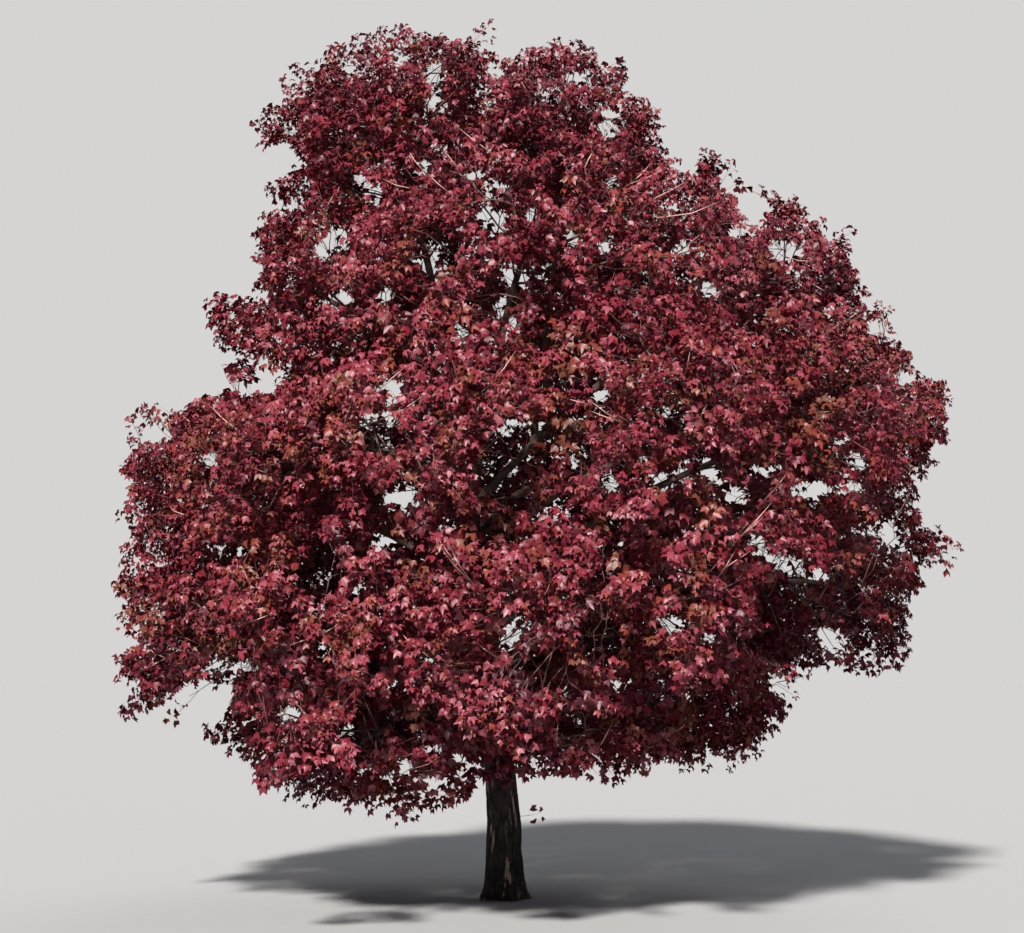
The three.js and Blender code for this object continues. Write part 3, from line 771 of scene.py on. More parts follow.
def hides_a_bare_twig(places, bare_twigs, crown_middle):
    """Marks the places that lie just outside one of the bare twigs."""
    hiding = np.zeros(len(places), dtype=bool)
    middle, half = BARE_TWIG_SHOWS
    for start, end in bare_twigs:
        length = np.linalg.norm(end - start)
        along = (end - start) / length
        outwards = unit((start + end) / 2 - crown_middle)
        sideways = unit(np.cross(outwards, along))
        away = places - start
        beside = np.abs(away @ sideways) < BARE_TWIG_CLEAR
        in_length = np.abs(away @ along - middle * length) < half * length
        hiding |= beside & in_length & (away @ outwards > -BARE_TWIG_BURIED)
    return hiding


def grow_from_limb(line, tips, branch_at, stems):
    """Deals spray tips to places at shares of the length of a limb, and grows to them from there."""
    reach = np.array(branch_at) * travelled_along(line)[-1]
    starts = places_along(line, reach)
    headings = unit(starts - places_along(line, reach - HEADING_STEP))
    ways = tips[:, None] - starts[None]
    turn = 1 - dot(unit(ways), headings)
    cost = lengths(ways) * (1 + TURN_COST * turn)
    nearest = cost.argmin(axis=1)
    for place, (start, heading) in enumerate(zip(starts, headings)):
        group = tips[nearest == place]
        if len(group):
            leaving = unit(heading + unit(group.mean(axis=0) - start))
            grow(start, leaving, group, stems)


# ==== Meshes from arrays ====


def put_in_scene(name, data):
    """A new object in the scene, made from its data."""
    placed = bpy.data.objects.new(name, data)
    bpy.context.scene.collection.objects.link(placed)
    return placed


def piece_from_arrays(name, points, faces, materials, slots, smooth):
    """A piece made of triangles, each with its material's place in the list."""
    mesh = bpy.data.meshes.new(name)
    mesh.vertices.add(len(points))
    mesh.vertices.foreach_set("co", points.astype(np.float32).ravel())
    mesh.loops.add(faces.size)
    mesh.loops.foreach_set("vertex_index", faces.astype(np.int32).ravel())
    mesh.polygons.add(len(faces))
    mesh.polygons.foreach_set("loop_start", np.arange(0, faces.size, 3, dtype=np.int32))
    mesh.polygons.foreach_set("material_index", slots.astype(np.int32))
    for material in materials:
        mesh.materials.append(material)
    mesh.update()
    if smooth:
        mesh.shade_smooth()
    return put_in_scene(name, mesh)


def twig_tubes(stems, rings):
    """Three-sided tubes along the stems, closed at both ends: their points, faces and finishes."""
    start, leaving, end, arriving, shoots, bare = columns_of(stems)
    radius = np.where(bare, np.maximum(thickness(shoots), BARE_TWIG_RADIUS), thickness(shoots))
    start = start - leaving * radius[:, None] * STEM_BURIED
    shares = np.tile(np.linspace(0, 1, rings), (len(stems), 1))
    place, heading = bend(start, leaving, end, arriving, shares)
    side = unit(np.cross(unit(end - start), chance.normal(size=start.shape)))[:, None]
    side = unit(side - heading * dot(side, heading)[..., None])
    across = np.cross(heading, side)
    turns = np.radians((0, 120, 240))
    taper = radius[:, None] * (1 - STEM_TAPER * shares)
    spokes = np.cos(turns)[:, None] * side[:, :, None] + np.sin(turns)[:, None] * across[:, :, None]
    points = place[:, :, None] + taper[:, :, None, None] * spokes
    last = 3 * (rings - 1)
    walls = [(2, 1, 0)]
    for low in range(last):
        beside = low - low % 3 + (low + 1) % 3
        walls += [(low, beside, beside + 3), (low, beside + 3, low + 3)]
    walls.append((last, last + 1, last + 2))
    points = points.reshape(len(stems), -1, 3)
    if (shoots == 1).all():      # a shoot comes to a point: its last ring is one place
        points = np.concatenate((points[:, :last], place[:, -1:]), axis=1)
        walls = [wall for wall in np.minimum(walls, last).tolist() if len(set(wall)) == 3]
    faces = np.array(walls)[None] + points.shape[1] * np.arange(len(stems))[:, None, None]
    red = (chance.random(len(stems)) < RED_TWIG_SHARE) & (shoots <= BROWN_TWIG)
    slot = np.where(red, RED_TWIG_SLOT, BROWN_TWIG_SLOT)
    slot[bare] = BARE_TWIG_SLOT
    return points.reshape(-1, 3), faces.reshape(-1, 3), np.repeat(slot, len(walls))


def twig_piece(name, stems, materials):
    """Joined twigs: the long ones bend in their middle, the short ones are straight."""
    start, _, end, _, shoots, _ = columns_of(stems)
    short = np.array([np.linalg.norm(way) < STRAIGHT_TWIG for way in end - start])
    shoot = shoots == 1
    points, faces, slots = [], [], []
    for kind in (shoot, ~shoot):
        for rings, fitting in ((2, kind & short), (3, kind & ~short)):
            tubes = twig_tubes([stems[row] for row in np.flatnonzero(fitting)], rings)
            faces.append(tubes[1] + sum(len(part) for part in points))
            points.append(tubes[0])
            slots.append(tubes[2])
    points, faces, slots = (np.concatenate(parts) for parts in (points, faces, slots))
    return piece_from_arrays(name, points, faces, materials, slots, smooth=True)


def blade_shape():
    """A leaf blade, from its stalk round: five pointed lobes, creased between them."""
    half = np.array(BLADE_HALF)
    right = half + chance.normal(0, BLADE_HALF_SCATTER, half.shape)
    left = (half + chance.normal(0, BLADE_HALF_SCATTER, half.shape))[::-1] * (-1, 1)
    tip = (chance.normal(0, BLADE_TIP_SCATTER), chance.uniform(*BLADE_LENGTH))
    outline = np.vstack(((0.0, 0.0), right, tip, left))
    away = lengths(outline)
    fold = chance.uniform(*BLADE_FOLD)
    droop = chance.uniform(*BLADE_DROOP)
    crease = chance.uniform(*BLADE_CREASE) * np.array((0, 1, -1, 1, -1, 1, -1, 1))
    pleat = chance.normal(0, BLADE_PLEAT, len(outline))
    height = -fold * np.abs(outline[:, 0]) - droop * away**BLADE_DROOP_POWER + crease + pleat
    height[0] = 0
    return np.column_stack((outline, height))


def leaves_on(stems, sizes, bare_twigs, pairs=range(len(PAIR_BACK)), keep_all=False):
    """Feet, stalk ends, frames, blade sizes, spray numbers and youth of the shoots' leaves."""
    start, leaving, end, arriving = columns_of(stems)[:4]
    length = lengths(end - start)
    count = len(stems)
    first_turn = chance.uniform(0, 2 * math.pi, count)
    vigour = chance.uniform(*VIGOUR, count)
    spray_tilt = chance.normal(0, SPRAY_TILT, start.shape)
    grown = []
    for pair in pairs:
        share = np.clip(1 - PAIR_BACK[pair] * vigour / length, PAIRS_FROM, 1.0)[:, None]
        foot, heading = (part[:, 0] for part in bend(start, leaving, end, arriving, share))
        side = unit(np.cross(heading, NEARLY_UP))
        across = np.cross(heading, side)
        for opposite in (0, math.pi):
            turn = first_turn + pair * math.pi / 2 + opposite
            turn = (turn + chance.normal(0, PAIR_TURN_SCATTER, count))[:, None]
            spread = PAIR_SPREAD[pair] + chance.normal(0, PAIR_SPREAD_SCATTER, count)
            spread = np.radians(spread)[:, None]
            sideways = np.cos(turn) * side + np.sin(turn) * across
            stalk = unit(np.cos(spread) * heading + np.sin(spread) * sideways + STALK_LIFT * UP)
            reach = STALK_LENGTH[pair] * vigour * chance.uniform(*STALK_SCATTER, count)
            knee = foot + stalk * reach[:, None]
            outwards = unit((knee - crown_middle) * (1, 1, 0))
            rise = np.clip(knee[:, 2:] / crown_height, 0, 1)
            facing = FACING_OUT[0] + (FACING_OUT[1] - FACING_OUT[0]) * rise
            tilt = spray_tilt + chance.normal(0, LEAF_TILT, knee.shape)
            face = unit(FACING_UP * UP + facing * outwards + tilt)
            droop = LEAF_DROOP * chance.uniform(*DROOP_SCATTER, count)[:, None]
            point = unit(stalk * (1, 1, LEVELLED_POINT) - droop * UP)
            point = unit(point - face * dot(point, face)[:, None])
            blade = BLADE_SIZE[pair] * sizes * vigour * chance.uniform(*SIZE_SCATTER, count)
            blade_middle = knee + point * blade[:, None] / 2
            kept = chance.random(count) < PAIR_SHARE[pair] * LEAVES_KEPT
            kept &= ~in_a_gap(blade_middle)
            kept &= ~hides_a_bare_twig(blade_middle, bare_twigs, crown_middle)
            kept |= keep_all
            frames = np.stack((np.cross(point, face), point, face), axis=1)
            youth = np.full(count, pair == 0) | (chance.random(count) < YOUNG_SHARE)
            whole = (foot, knee, frames, blade, np.arange(count), youth)
            grown.append([part[kept] for part in whole])
    return [np.concatenate(parts) for parts in zip(*grown)]


def leaf_piece(name, leaves, blades, materials, tint_of_spray):
    """Leaves joined into one piece: each a lobed blade of a few faces on a thin stalk."""
    foot, knee, frames, size, spray, youth = leaves
    shape = np.array(blades)[chance.integers(0, len(blades), len(foot))]
    shape = shape * size[:, None, None]
    blade = knee[:, None] + np.einsum("nkj,njd->nkd", shape, frames)
    sideways = unit(np.cross(knee - foot, NEARLY_UP)) * STALK_WIDTH / 2
    points = np.concatenate((blade, (foot - sideways)[:, None], (foot + sideways)[:, None]), axis=1)
    rim = len(blades[0])
    fan = [(0, corner, corner + 1) for corner in range(1, rim - 1)]
    one_leaf = np.array(fan + [(rim, rim + 1, 0)])
    faces = one_leaf[None] + points.shape[1] * np.arange(len(foot))[:, None, None]
    stalk_slot = len(materials) - 1
    tint = np.minimum(tint_of_spray[spray] + youth, stalk_slot - 1)
    slots = np.repeat(tint[:, None], len(one_leaf), axis=1)
    slots[:, -1] = stalk_slot
    points, faces = points.reshape(-1, 3), faces.reshape(-1, 3)
    return piece_from_arrays(name, points, faces, materials, slots.ravel(), smooth=False)


# ==== Bark over the limbs, by Geometry Nodes ====


def add(tree, kind, links=None, **settings):
    """Adds a node, sets it up, and links or fills its inputs, given by name or number."""
    node = tree.nodes.new(kind)
    for key, value in settings.items():
        setattr(node, key, value)
    for key, value in (links or {}).items():
        if isinstance(value, bpy.types.NodeSocket):
            tree.links.new(value, node.inputs[key])
        else:
            node.inputs[key].default_value = value
    return node


def result(tree, kind, links=None, **settings):
    """Adds a node and gives its first output."""
    return add(tree, kind, links, **settings).outputs[0]


def maths(tree, operation, first, second=0.0):
    """One sum on two numbers or sockets."""
    return result(tree, "ShaderNodeMath", {0: first, 1: second}, operation=operation)


def vector_maths(tree, operation, links):
    """One sum on vectors."""
    return result(tree, "ShaderNodeVectorMath", links, operation=operation)


def vector_of(tree, x, y, z):
    """A vector made of three numbers or sockets."""
    return result(tree, "ShaderNodeCombineXYZ", {"X": x, "Y": y, "Z": z})


def noise(tree, places, scale, detail, distortion=0.0):
    """An uneven pattern between 0 and 1."""
    links = {"Vector": places, "Scale": scale, "Detail": detail, "Distortion": distortion}
    return result(tree, "ShaderNodeTexNoise", links)


def ranged(tree, value, low, high, to_low=0.0, to_high=1.0, **settings):
    """Maps a value from one range to another."""
    links = {"Value": value, "From Min": low, "From Max": high, "To Min": to_low, "To Max": to_high}
    return result(tree, "ShaderNodeMapRange", links, **settings)


def store(tree, geometry, name, value, kind="FLOAT"):
    """Stores a value on every point of a geometry under a name."""
    links = {"Geometry": geometry, "Name": name, "Value": value}
    return result(tree, "GeometryNodeStoreNamedAttribute", links, data_type=kind, domain="POINT")


def stored(tree, name, kind="FLOAT"):
    """Reads a named value back."""
    return result(tree, "GeometryNodeInputNamedAttribute", {"Name": name}, data_type=kind)


BARK_NUMBERS = (
    "Ring spacing", "Fissures", "Fissure stretch", "Fissure depth", "Lumps", "Ribs", "Rib depth",
)
BARK_INPUTS = (
    ("Wood lines", "NodeSocketGeometry"),
    ("Sides", "NodeSocketInt"),
    *((name, "NodeSocketFloat") for name in BARK_NUMBERS),
    ("Bark", "NodeSocketMaterial"),
)


def round_skin(tree, given):
    """A round skin along the wood lines, as thick as their girth, with its own round places."""
    along = add(tree, "GeometryNodeSplineParameter").outputs
    place = result(tree, "GeometryNodeInputPosition")
    line = result(tree, "GeometryNodeMeshToCurve", {"Mesh": given["Wood lines"]})
    line = result(tree, "GeometryNodeCurveSplineType", {"Curve": line}, spline_type="CATMULL_ROM")
    spacing = {"Curve": line, "Length": given["Ring spacing"]}
    line = result(tree, "GeometryNodeResampleCurve", spacing, mode="LENGTH")
    line = store(tree, line, "core", place, "FLOAT_VECTOR")
    line = store(tree, line, "reach", along["Length"])
    ring_links = {"Resolution": given["Sides"], "Radius": 1.0}
    ring = result(tree, "GeometryNodeCurvePrimitiveCircle", ring_links)
    ring = store(tree, ring, "turn", maths(tree, "MULTIPLY", along["Factor"], 2 * math.pi))
    girth = stored(tree, "girth")
    links = {"Curve": line, "Profile Curve": ring, "Scale": girth, "Fill Caps": True}
    return result(tree, "GeometryNodeCurveToMesh", links), girth, place


def bark_tree():
    """Wraps lines in bark: a round skin as thick as the line's girth, with ribs and fissures."""
    tree = bpy.data.node_groups.new("bark_over_wood", "GeometryNodeTree")
    for name, kind in BARK_INPUTS:
        tree.interface.new_socket(name, in_out="INPUT", socket_type=kind)
    tree.interface.new_socket("Bark skin", in_out="OUTPUT", socket_type="NodeSocketGeometry")
    given = tree.nodes.new("NodeGroupInput").outputs
    skin, girth, place = round_skin(tree, given)

    turn, reach = stored(tree, "turn"), stored(tree, "reach")
    round_x = maths(tree, "MULTIPLY", maths(tree, "COSINE", turn), girth)
    round_y = maths(tree, "MULTIPLY", maths(tree, "SINE", turn), girth)
    grain = vector_of(tree, round_x, round_y, reach)
    skin = store(tree, skin, "grain", grain, "FLOAT_VECTOR")
    stretched = maths(tree, "MULTIPLY", reach, given["Fissure stretch"])
    long_grain = vector_of(tree, round_x, round_y, stretched)

    cracks = noise(tree, long_grain, given["Fissures"], FISSURE_DETAIL, FISSURE_BEND)
    beside_crack = maths(tree, "ABSOLUTE", maths(tree, "SUBTRACT", cracks, 0.5))
    ridge = ranged(tree, beside_crack, 0.0, FISSURE_WIDTH, interpolation_type="SMOOTHSTEP")
    skin = store(tree, skin, "ridge", ridge)
    sunk = maths(tree, "SUBTRACT", stored(tree, "ridge"), 1.0)
    carved = maths(tree, "MULTIPLY", sunk, given["Fissure depth"])

    swell = noise(tree, grain, LUMP_SCALE, LUMP_DETAIL)
    lumps = maths(tree, "MULTIPLY", maths(tree, "SUBTRACT", swell, 0.5), given["Lumps"])
    wave = maths(tree, "COSINE", maths(tree, "MULTIPLY", turn, given["Ribs"]))
    ribs = maths(tree, "MULTIPLY", wave, given["Rib depth"])
    ribs = maths(tree, "MULTIPLY", ribs, stored(tree, "flare"))
    rise = maths(tree, "ADD", maths(tree, "ADD", carved, lumps), ribs)
    rise = maths(tree, "MULTIPLY", rise, girth)
    spoke = vector_maths(tree, "SUBTRACT", {0: place, 1: stored(tree, "core", "FLOAT_VECTOR")})
    outwards = vector_maths(tree, "NORMALIZE", {0: spoke})
    shift = vector_maths(tree, "SCALE", {0: outwards, "Scale": rise})
    skin = result(tree, "GeometryNodeSetPosition", {"Geometry": skin, "Offset": shift})
    skin = result(tree, "GeometryNodeSetShadeSmooth", {"Geometry": skin, "Shade Smooth": True})
    skin = result(tree, "GeometryNodeSetMaterial", {"Geometry": skin, "Material": given["Bark"]})
    finished = result(tree, "GeometryNodeRealizeInstances", {"Geometry": skin})
    add(tree, "NodeGroupOutput", {0: finished})
    return tree


def wood_lines(name, lines):
    """A mesh of bare lines, each point with its girth and its share of the root flare."""
    points = np.vstack([line for line, girth in lines])
    girths = np.concatenate([girth for line, girth in lines])
    flares = np.exp(-points[:, 2] / FLARE_HEIGHT)
    firsts = np.cumsum([0] + [len(line) for line, girth in lines])
    edges = []
    for first, last in zip(firsts[:-1], firsts[1:]):
        edges.extend((k, k + 1) for k in range(first, last - 1))
    mesh = bpy.data.meshes.new(name)
    mesh.from_pydata(points.tolist(), edges, [])
    for label, values in (("girth", girths), ("flare", flares)):
        attribute = mesh.attributes.new(label, "FLOAT", "POINT")
        attribute.data.foreach_set("value", values.astype(np.float32))
    return put_in_scene(name, mesh)


def wrap_in_bark(name, lines, tree, bark, sizes):
    """Turns wood lines into one plain mesh of bark."""
    piece = wood_lines(name, lines)
    wrap = piece.modifiers.new("bark", "NODES")
    wrap.node_group = tree
    asked = {**sizes, "Bark": bark}
    for item in tree.interface.items_tree:
        if item.in_out == "INPUT" and item.name in asked:
            wrap[item.identifier] = asked[item.name]
    evaluated = piece.evaluated_get(bpy.context.evaluated_depsgraph_get())
    skin = bpy.data.meshes.new_from_object(evaluated)
    piece.modifiers.remove(wrap)
    piece.data = skin
    skin.name = name
    return piece


# ==== Finishes ====

# Name, share of the sprays and base colour, from cool and dark to warm.
LEAF_TINTS = (
    ("leaf_plum", 0.14, (0.068, 0.006, 0.014)),
    ("leaf_wine", 0.18, (0.112, 0.008, 0.015)),
    ("leaf_maroon", 0.22, (0.150, 0.011, 0.020)),
    ("leaf_claret", 0.20, (0.178, 0.020, 0.033)),
    ("leaf_crimson", 0.13, (0.208, 0.040, 0.055)),
    ("leaf_brick", 0.09, (0.168, 0.027, 0.019)),
    ("leaf_bronze", 0.04, (0.124, 0.031, 0.017)),
)

# How warm a spray's tint is, and so, mostly, how light: the waves of warm and cool patches, in
# radians a metre, how strong the patches are and by how much less above the skirt, from and to these
# heights (the stronger patches on the skirt are painted sunlit patches and painted shade), how much
# each spray differs, and how much warmer or cooler sprays get between two heights: warmer above the
# skirt, so that the skirt's leaves are darker as painted shade, and cooler at the top, as painted shade.
TINT_WAVES = 4.5
PATCH_SPREAD = 1.22
PATCH_AND_PAINTED_SKIRT_LIGHT = (0.9, 0.5, 1.3, 2.4)
SPRAY_WARMTH = 0.9
COOLER = 0.40
PAINTED_SKIRT_SHADE = (0.64, 1.2, 2.6)
PAINTED_TOP_SHADE = (0.9, 3.4, 5.6)
WARMTH_SPREAD = 0.98
LEAF_ROUGHNESS = 0.45
LEAF_SPECULAR = 0.36

# Bark: how coarse its three noises are, beside the grain, and their detail, the ends of its
# weathering, the noise that is a fleck (on the trunk a painted sun fleck), and how its fibres and
# ridges show.
MOTTLE = (0.22, 4.0)
FIBRE = (4, 6.0)
FLECK = (0.6, 3.0)
WEATHERING = ((0.35, 0.62), (0.68, 1.25))  # in the noise, and as shares of the ridge's colour
FLECK_FROM = (0.62, 0.67)
FIBRE_RANGE = (0.3, 0.7)
FIBRE_SHADE = (0.72, 1.15)
FIBRE_ROUGHNESS = (0.78, 0.95)
FIBRE_STRETCH = 0.16
RIDGE_BUMP = 0.8
FIBRE_BUMP = 0.5
BUMP = {"Strength": 0.6, "Distance": 0.004}
BARK_SPECULAR = 0.25


def plain_material(name, colour, roughness, specular=0.5):
    """A finish with one colour, set on the shader itself."""
    material = bpy.data.materials.new(name)
    material.use_nodes = True
    shader = material.node_tree.nodes["Principled BSDF"]
    shader.inputs["Base Color"].default_value = (*colour, 1.0)
    shader.inputs["Roughness"].default_value = roughness
    shader.inputs["Specular IOR Level"].default_value = specular
    return material


def bark_material(name, ridge_colour, crack_colour, fleck_and_sun_fleck_colour, grain_scale):
    """Furrowed bark: pale ridges, dark cracks, pale flecks (painted sun flecks on the trunk) and a fine grain
    along the limb.
    """
    material = bpy.data.materials.new(name)
    material.use_nodes = True
    tree = material.node_tree
    shader = tree.nodes["Principled BSDF"]
    ridge = add(tree, "ShaderNodeAttribute", attribute_name="ridge").outputs["Fac"]
    grain = add(tree, "ShaderNodeAttribute", attribute_name="grain").outputs["Vector"]
    squeeze = {"Vector": grain, "Scale": (1, 1, FIBRE_STRETCH)}
    long_grain = result(tree, "ShaderNodeMapping", squeeze)
    mottle, fibre, fleck = (
        noise(tree, places, grain_scale * scale, detail)
        for places, (scale, detail) in ((grain, MOTTLE), (long_grain, FIBRE), (long_grain, FLECK))
    )

    weather = add(tree, "ShaderNodeValToRGB", {"Fac": mottle})
    for element, (position, shade) in zip(weather.color_ramp.elements, WEATHERING):
        element.position = position
        element.color = (*[shade * part for part in ridge_colour], 1)
    # Pale flecks mixed in: on the trunk these are painted sun flecks.
    flecks = {0: ranged(tree, fleck, *FLECK_FROM), 6: weather.outputs[0], 7: (*fleck_and_sun_fleck_colour, 1)}
    flecked = add(tree, "ShaderNodeMix", flecks, data_type="RGBA")
    fibre_shade = ranged(tree, fibre, *FIBRE_RANGE, *FIBRE_SHADE)
    fibred = vector_maths(tree, "SCALE", {0: flecked.outputs[2], "Scale": fibre_shade})
    furrows = {0: ridge, 6: (*crack_colour, 1), 7: fibred}
    colour = add(tree, "ShaderNodeMix", furrows, data_type="RGBA")
    tree.links.new(colour.outputs[2], shader.inputs["Base Color"])

    dull = ranged(tree, fibre, *FIBRE_RANGE, *FIBRE_ROUGHNESS)
    tree.links.new(dull, shader.inputs["Roughness"])
    heights = zip((ridge, fibre), (RIDGE_BUMP, FIBRE_BUMP))
    height = maths(tree, "ADD", *(maths(tree, "MULTIPLY", value, bump) for value, bump in heights))
    bump = result(tree, "ShaderNodeBump", {"Height": height, **BUMP})
    tree.links.new(bump, shader.inputs["Normal"])
    shader.inputs["Specular IOR Level"].default_value = BARK_SPECULAR
    return material


# ==== The tree ====

# Painted shade: the trunk's bark is far darker than the boughs', as if under the crown, and its pale flecks are
# painted sun flecks.
shaded_trunk_bark = bark_material(
    "shaded_trunk_bark",
    ridge_colour=(0.040, 0.032, 0.028),
    crack_colour=(0.008, 0.007, 0.007),
    fleck_and_sun_fleck_colour=(0.38, 0.26, 0.21),
    grain_scale=34,
)
bough_bark = bark_material(
    "bough_bark",
    ridge_colour=(0.150, 0.095, 0.075),
    crack_colour=(0.055, 0.036, 0.030),
    fleck_and_sun_fleck_colour=(0.30, 0.20, 0.16),
    grain_scale=90,
)
twig_finishes = [
    plain_material("twig_brown", (0.17, 0.095, 0.08), 0.65),
    plain_material("twig_tan", (0.60, 0.35, 0.30), 0.5),
    plain_material("twig_red", (0.26, 0.085, 0.075), 0.55),
]
leaf_finishes = [
    plain_material(name, colour, LEAF_ROUGHNESS, LEAF_SPECULAR) for name, share, colour in LEAF_TINTS
]
leaf_finishes.append(plain_material("leaf_stalk", (0.24, 0.035, 0.035), 0.5))

# The limbs and the masses that they carry.
limbs = {name: limb_line(name) for name in LEADERS_CARRY}
carried = dict(LEADERS_CARRY)
for tier, pairs in BOUGHS_CARRY.items():
    for number, pair in enumerate(pairs, start=1):
        bough = f"{tier}_bough_{number}"
        limbs[bough] = limb_line(bough)
        carried[bough] = tuple(f"{tier}_mass_{mass}" for mass in pair)

fills = {mass: fill_of(mass) for masses in carried.values() for mass in masses}
crown_volume = sum(fill.volume for fill in fills.values())
crown_middle = sum(fill.middle * fill.volume for fill in fills.values()) / crown_volume
crown_height = max(fill.triangles[:, :, 2].max() for fill in fills.values())

# The trunk, the boughs and leaders, and the shoot on the trunk.
wood_tree = bark_tree()
trunk_places, trunk_radii = trunk_line()
trunk = wrap_in_bark("trunk_with_bark", [(trunk_places, trunk_radii)], wood_tree, shaded_trunk_bark, {
    "Sides": 132,
    "Ring spacing": 0.0125,
    "Fissures": 34.0,
    "Fissure stretch": 0.15,
    "Fissure depth": 0.055,
    "Lumps": 0.16,
    "Ribs": 5.0,
    "Rib depth": 0.12,
})
boughs = wrap_in_bark("boughs_and_leaders", list(limbs.values()), wood_tree, bough_bark, {
    "Sides": 14,
    "Ring spacing": 0.03,
    "Fissures": 60.0,
    "Fissure stretch": 0.2,
    "Fissure depth": 0.05,
    "Lumps": 0.3,
})

trunk_rows = (*trunk_places.T, trunk_radii)
*shoot_foot, girth_there = (np.interp(TRUNK_SHOOT_FROM, trunk_places[:, 2], row) for row in trunk_rows)
shoot_foot[0] += girth_there * TRUNK_SHOOT_BURIED
shoot_leaving, shoot_arriving = unit(np.array(TRUNK_SHOOT_WAYS))
shoot_tip = np.array(TRUNK_SHOOT_TIP)
trunk_shoot = Stem(np.array(shoot_foot), shoot_leaving, shoot_tip, shoot_arriving, 1)

# Where every spray ends.
tufts_of_mass = outline_tufts(fills, crown_middle)
tips_of_mass = {}
for mass, fill in fills.items():
    tufts = tufts_on(fill, crown_middle) + tufts_of_mass[mass]
    tips_of_mass[mass] = np.vstack([spray_tips(fill, crown_middle), *tufts])
more_of_mass = seam_tips(fills, tips_of_mass, crown_middle)
mass_names = list(fills)
mass_middles = middles_of(fills)


def give_to_nearest(tips):
    """Gives more spray tips to the masses that lie nearest."""
    for tip in tips:
        nearest = mass_names[lengths(mass_middles - tip).argmin()]
        more_of_mass[nearest] = np.vstack((more_of_mass[nearest], tip))


give_to_nearest(hollow_backs())
for height in SIGHT_HEIGHTS:
    for bearing in SIGHT_BEARINGS:
        grown = np.vstack([*tips_of_mass.values(), *more_of_mass.values()])
        give_to_nearest(closing_tips(grown[~in_a_gap(grown)], bearing, height))

for mass in mass_names:
    tips_of_mass[mass] = np.vstack((tips_of_mass[mass], more_of_mass[mass]))
grown = np.vstack(list(tips_of_mass.values()))
owners = np.repeat(mass_names, [len(tips) for tips in tips_of_mass.values()])
for keeps in (inside_the_box, clear_of_gaps, in_company):
    kept = keeps(grown)
    grown, owners = grown[kept], owners[kept]

# The wood that grows to them, from the limb that carries each mass.
stems_of_mass = {}
inner_stems = []
bare_twigs = []
for limb, masses in carried.items():
    line = limbs[limb][0]
    for mass in masses:
        stems = []
        grow_from_limb(line, grown[owners == mass], SIDE_BRANCHES_AT, stems)
        crosses = in_a_gap(np.array([(stem.start + stem.end) / 2 for stem in stems]))
        stems = [stem for stem, cut in zip(stems, crosses) if not (cut and stem.shoots == 1)]
        for row in pick_bare_twigs(stems, fills[mass], crown_middle):
            stems[row] = stems[row]._replace(bare=True)
            bare_twigs.append((stems[row].start, stems[row].end))
        stems_of_mass[mass] = stems
    grow_from_limb(line, inner_tips(line), INNER_BRANCHES_AT, inner_stems)

branch_shares = np.linspace(0, 1, BRANCH_POINTS)[None]
branch_taper = np.linspace(1, 1 - STEM_TAPER, BRANCH_POINTS)
branch_lines = []
for start, leaving, end, arriving, shoots, _ in itertools.chain(*stems_of_mass.values()):
    if thickness(shoots) >= BARK_FROM:
        rows = (start - leaving * thickness(shoots) * STEM_BURIED, leaving, end, arriving)
        line = bend(*(row[None] for row in rows), branch_shares)[0][0]
        branch_lines.append((line, thickness(shoots) * branch_taper))
branches = wrap_in_bark("branches", branch_lines, wood_tree, bough_bark, {
    "Sides": 7,
    "Ring spacing": 0.06,
    "Fissures": 90.0,
    "Fissure stretch": 0.25,
    "Fissure depth": 0.04,
    "Lumps": 0.3,
})

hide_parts("trunk")
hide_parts(*limbs)
wood_pieces = [trunk, boughs, branches]

# The leaves, in one piece for each side of a tier, and one for those inside the crown.
blades = [blade_shape() for _ in range(BLADE_KINDS)]
waves = chance.normal(0, 1, (3, 3)) * TINT_WAVES
phases = chance.uniform(0, 2 * math.pi, 3)
tint_steps = np.cumsum([share for name, share, colour in LEAF_TINTS])[:-1]


def tints_for(tips):
    """Deals a leaf tint to each spray, so that sprays near each other are often alike, with painted shade low on
    the skirt and at the top, and painted sunlit patches on the skirt.
    """
    height = tips[:, 2]
    patch = np.sin(tips @ waves.T + phases).sum(axis=1) / PATCH_SPREAD
    # The patches are random tone everywhere, and stronger on the skirt as painted sunlit patches beside painted
    # shade.
    strength, painted_skirt_light, *heights = PATCH_AND_PAINTED_SKIRT_LIGHT
    patch *= strength - painted_skirt_light * smooth_step(height, *heights)
    warmth = patch + SPRAY_WARMTH * chance.normal(size=len(tips)) - COOLER
    # Painted shade: sprays get warmer and so lighter above the skirt, so the skirt's leaves are darker.
    more, *heights = PAINTED_SKIRT_SHADE
    warmth += more * smooth_step(height, *heights)
    # Painted shade: sprays at the crown's top get cooler and so darker tints.
    less, *heights = PAINTED_TOP_SHADE
    warmth -= less * smooth_step(height, *heights)
    rank = 0.5 * (1 + np.vectorize(math.erf)(warmth / (WARMTH_SPREAD * math.sqrt(2))))
    return np.searchsorted(tint_steps, rank)


regions = {}
for mass, fill in fills.items():
    region = mass.split("_")[0]
    if region not in ("skirt", "top"):
        region += "_left" if fill.middle[0] < crown_middle[0] else "_right"
    regions.setdefault(region, []).append(mass)

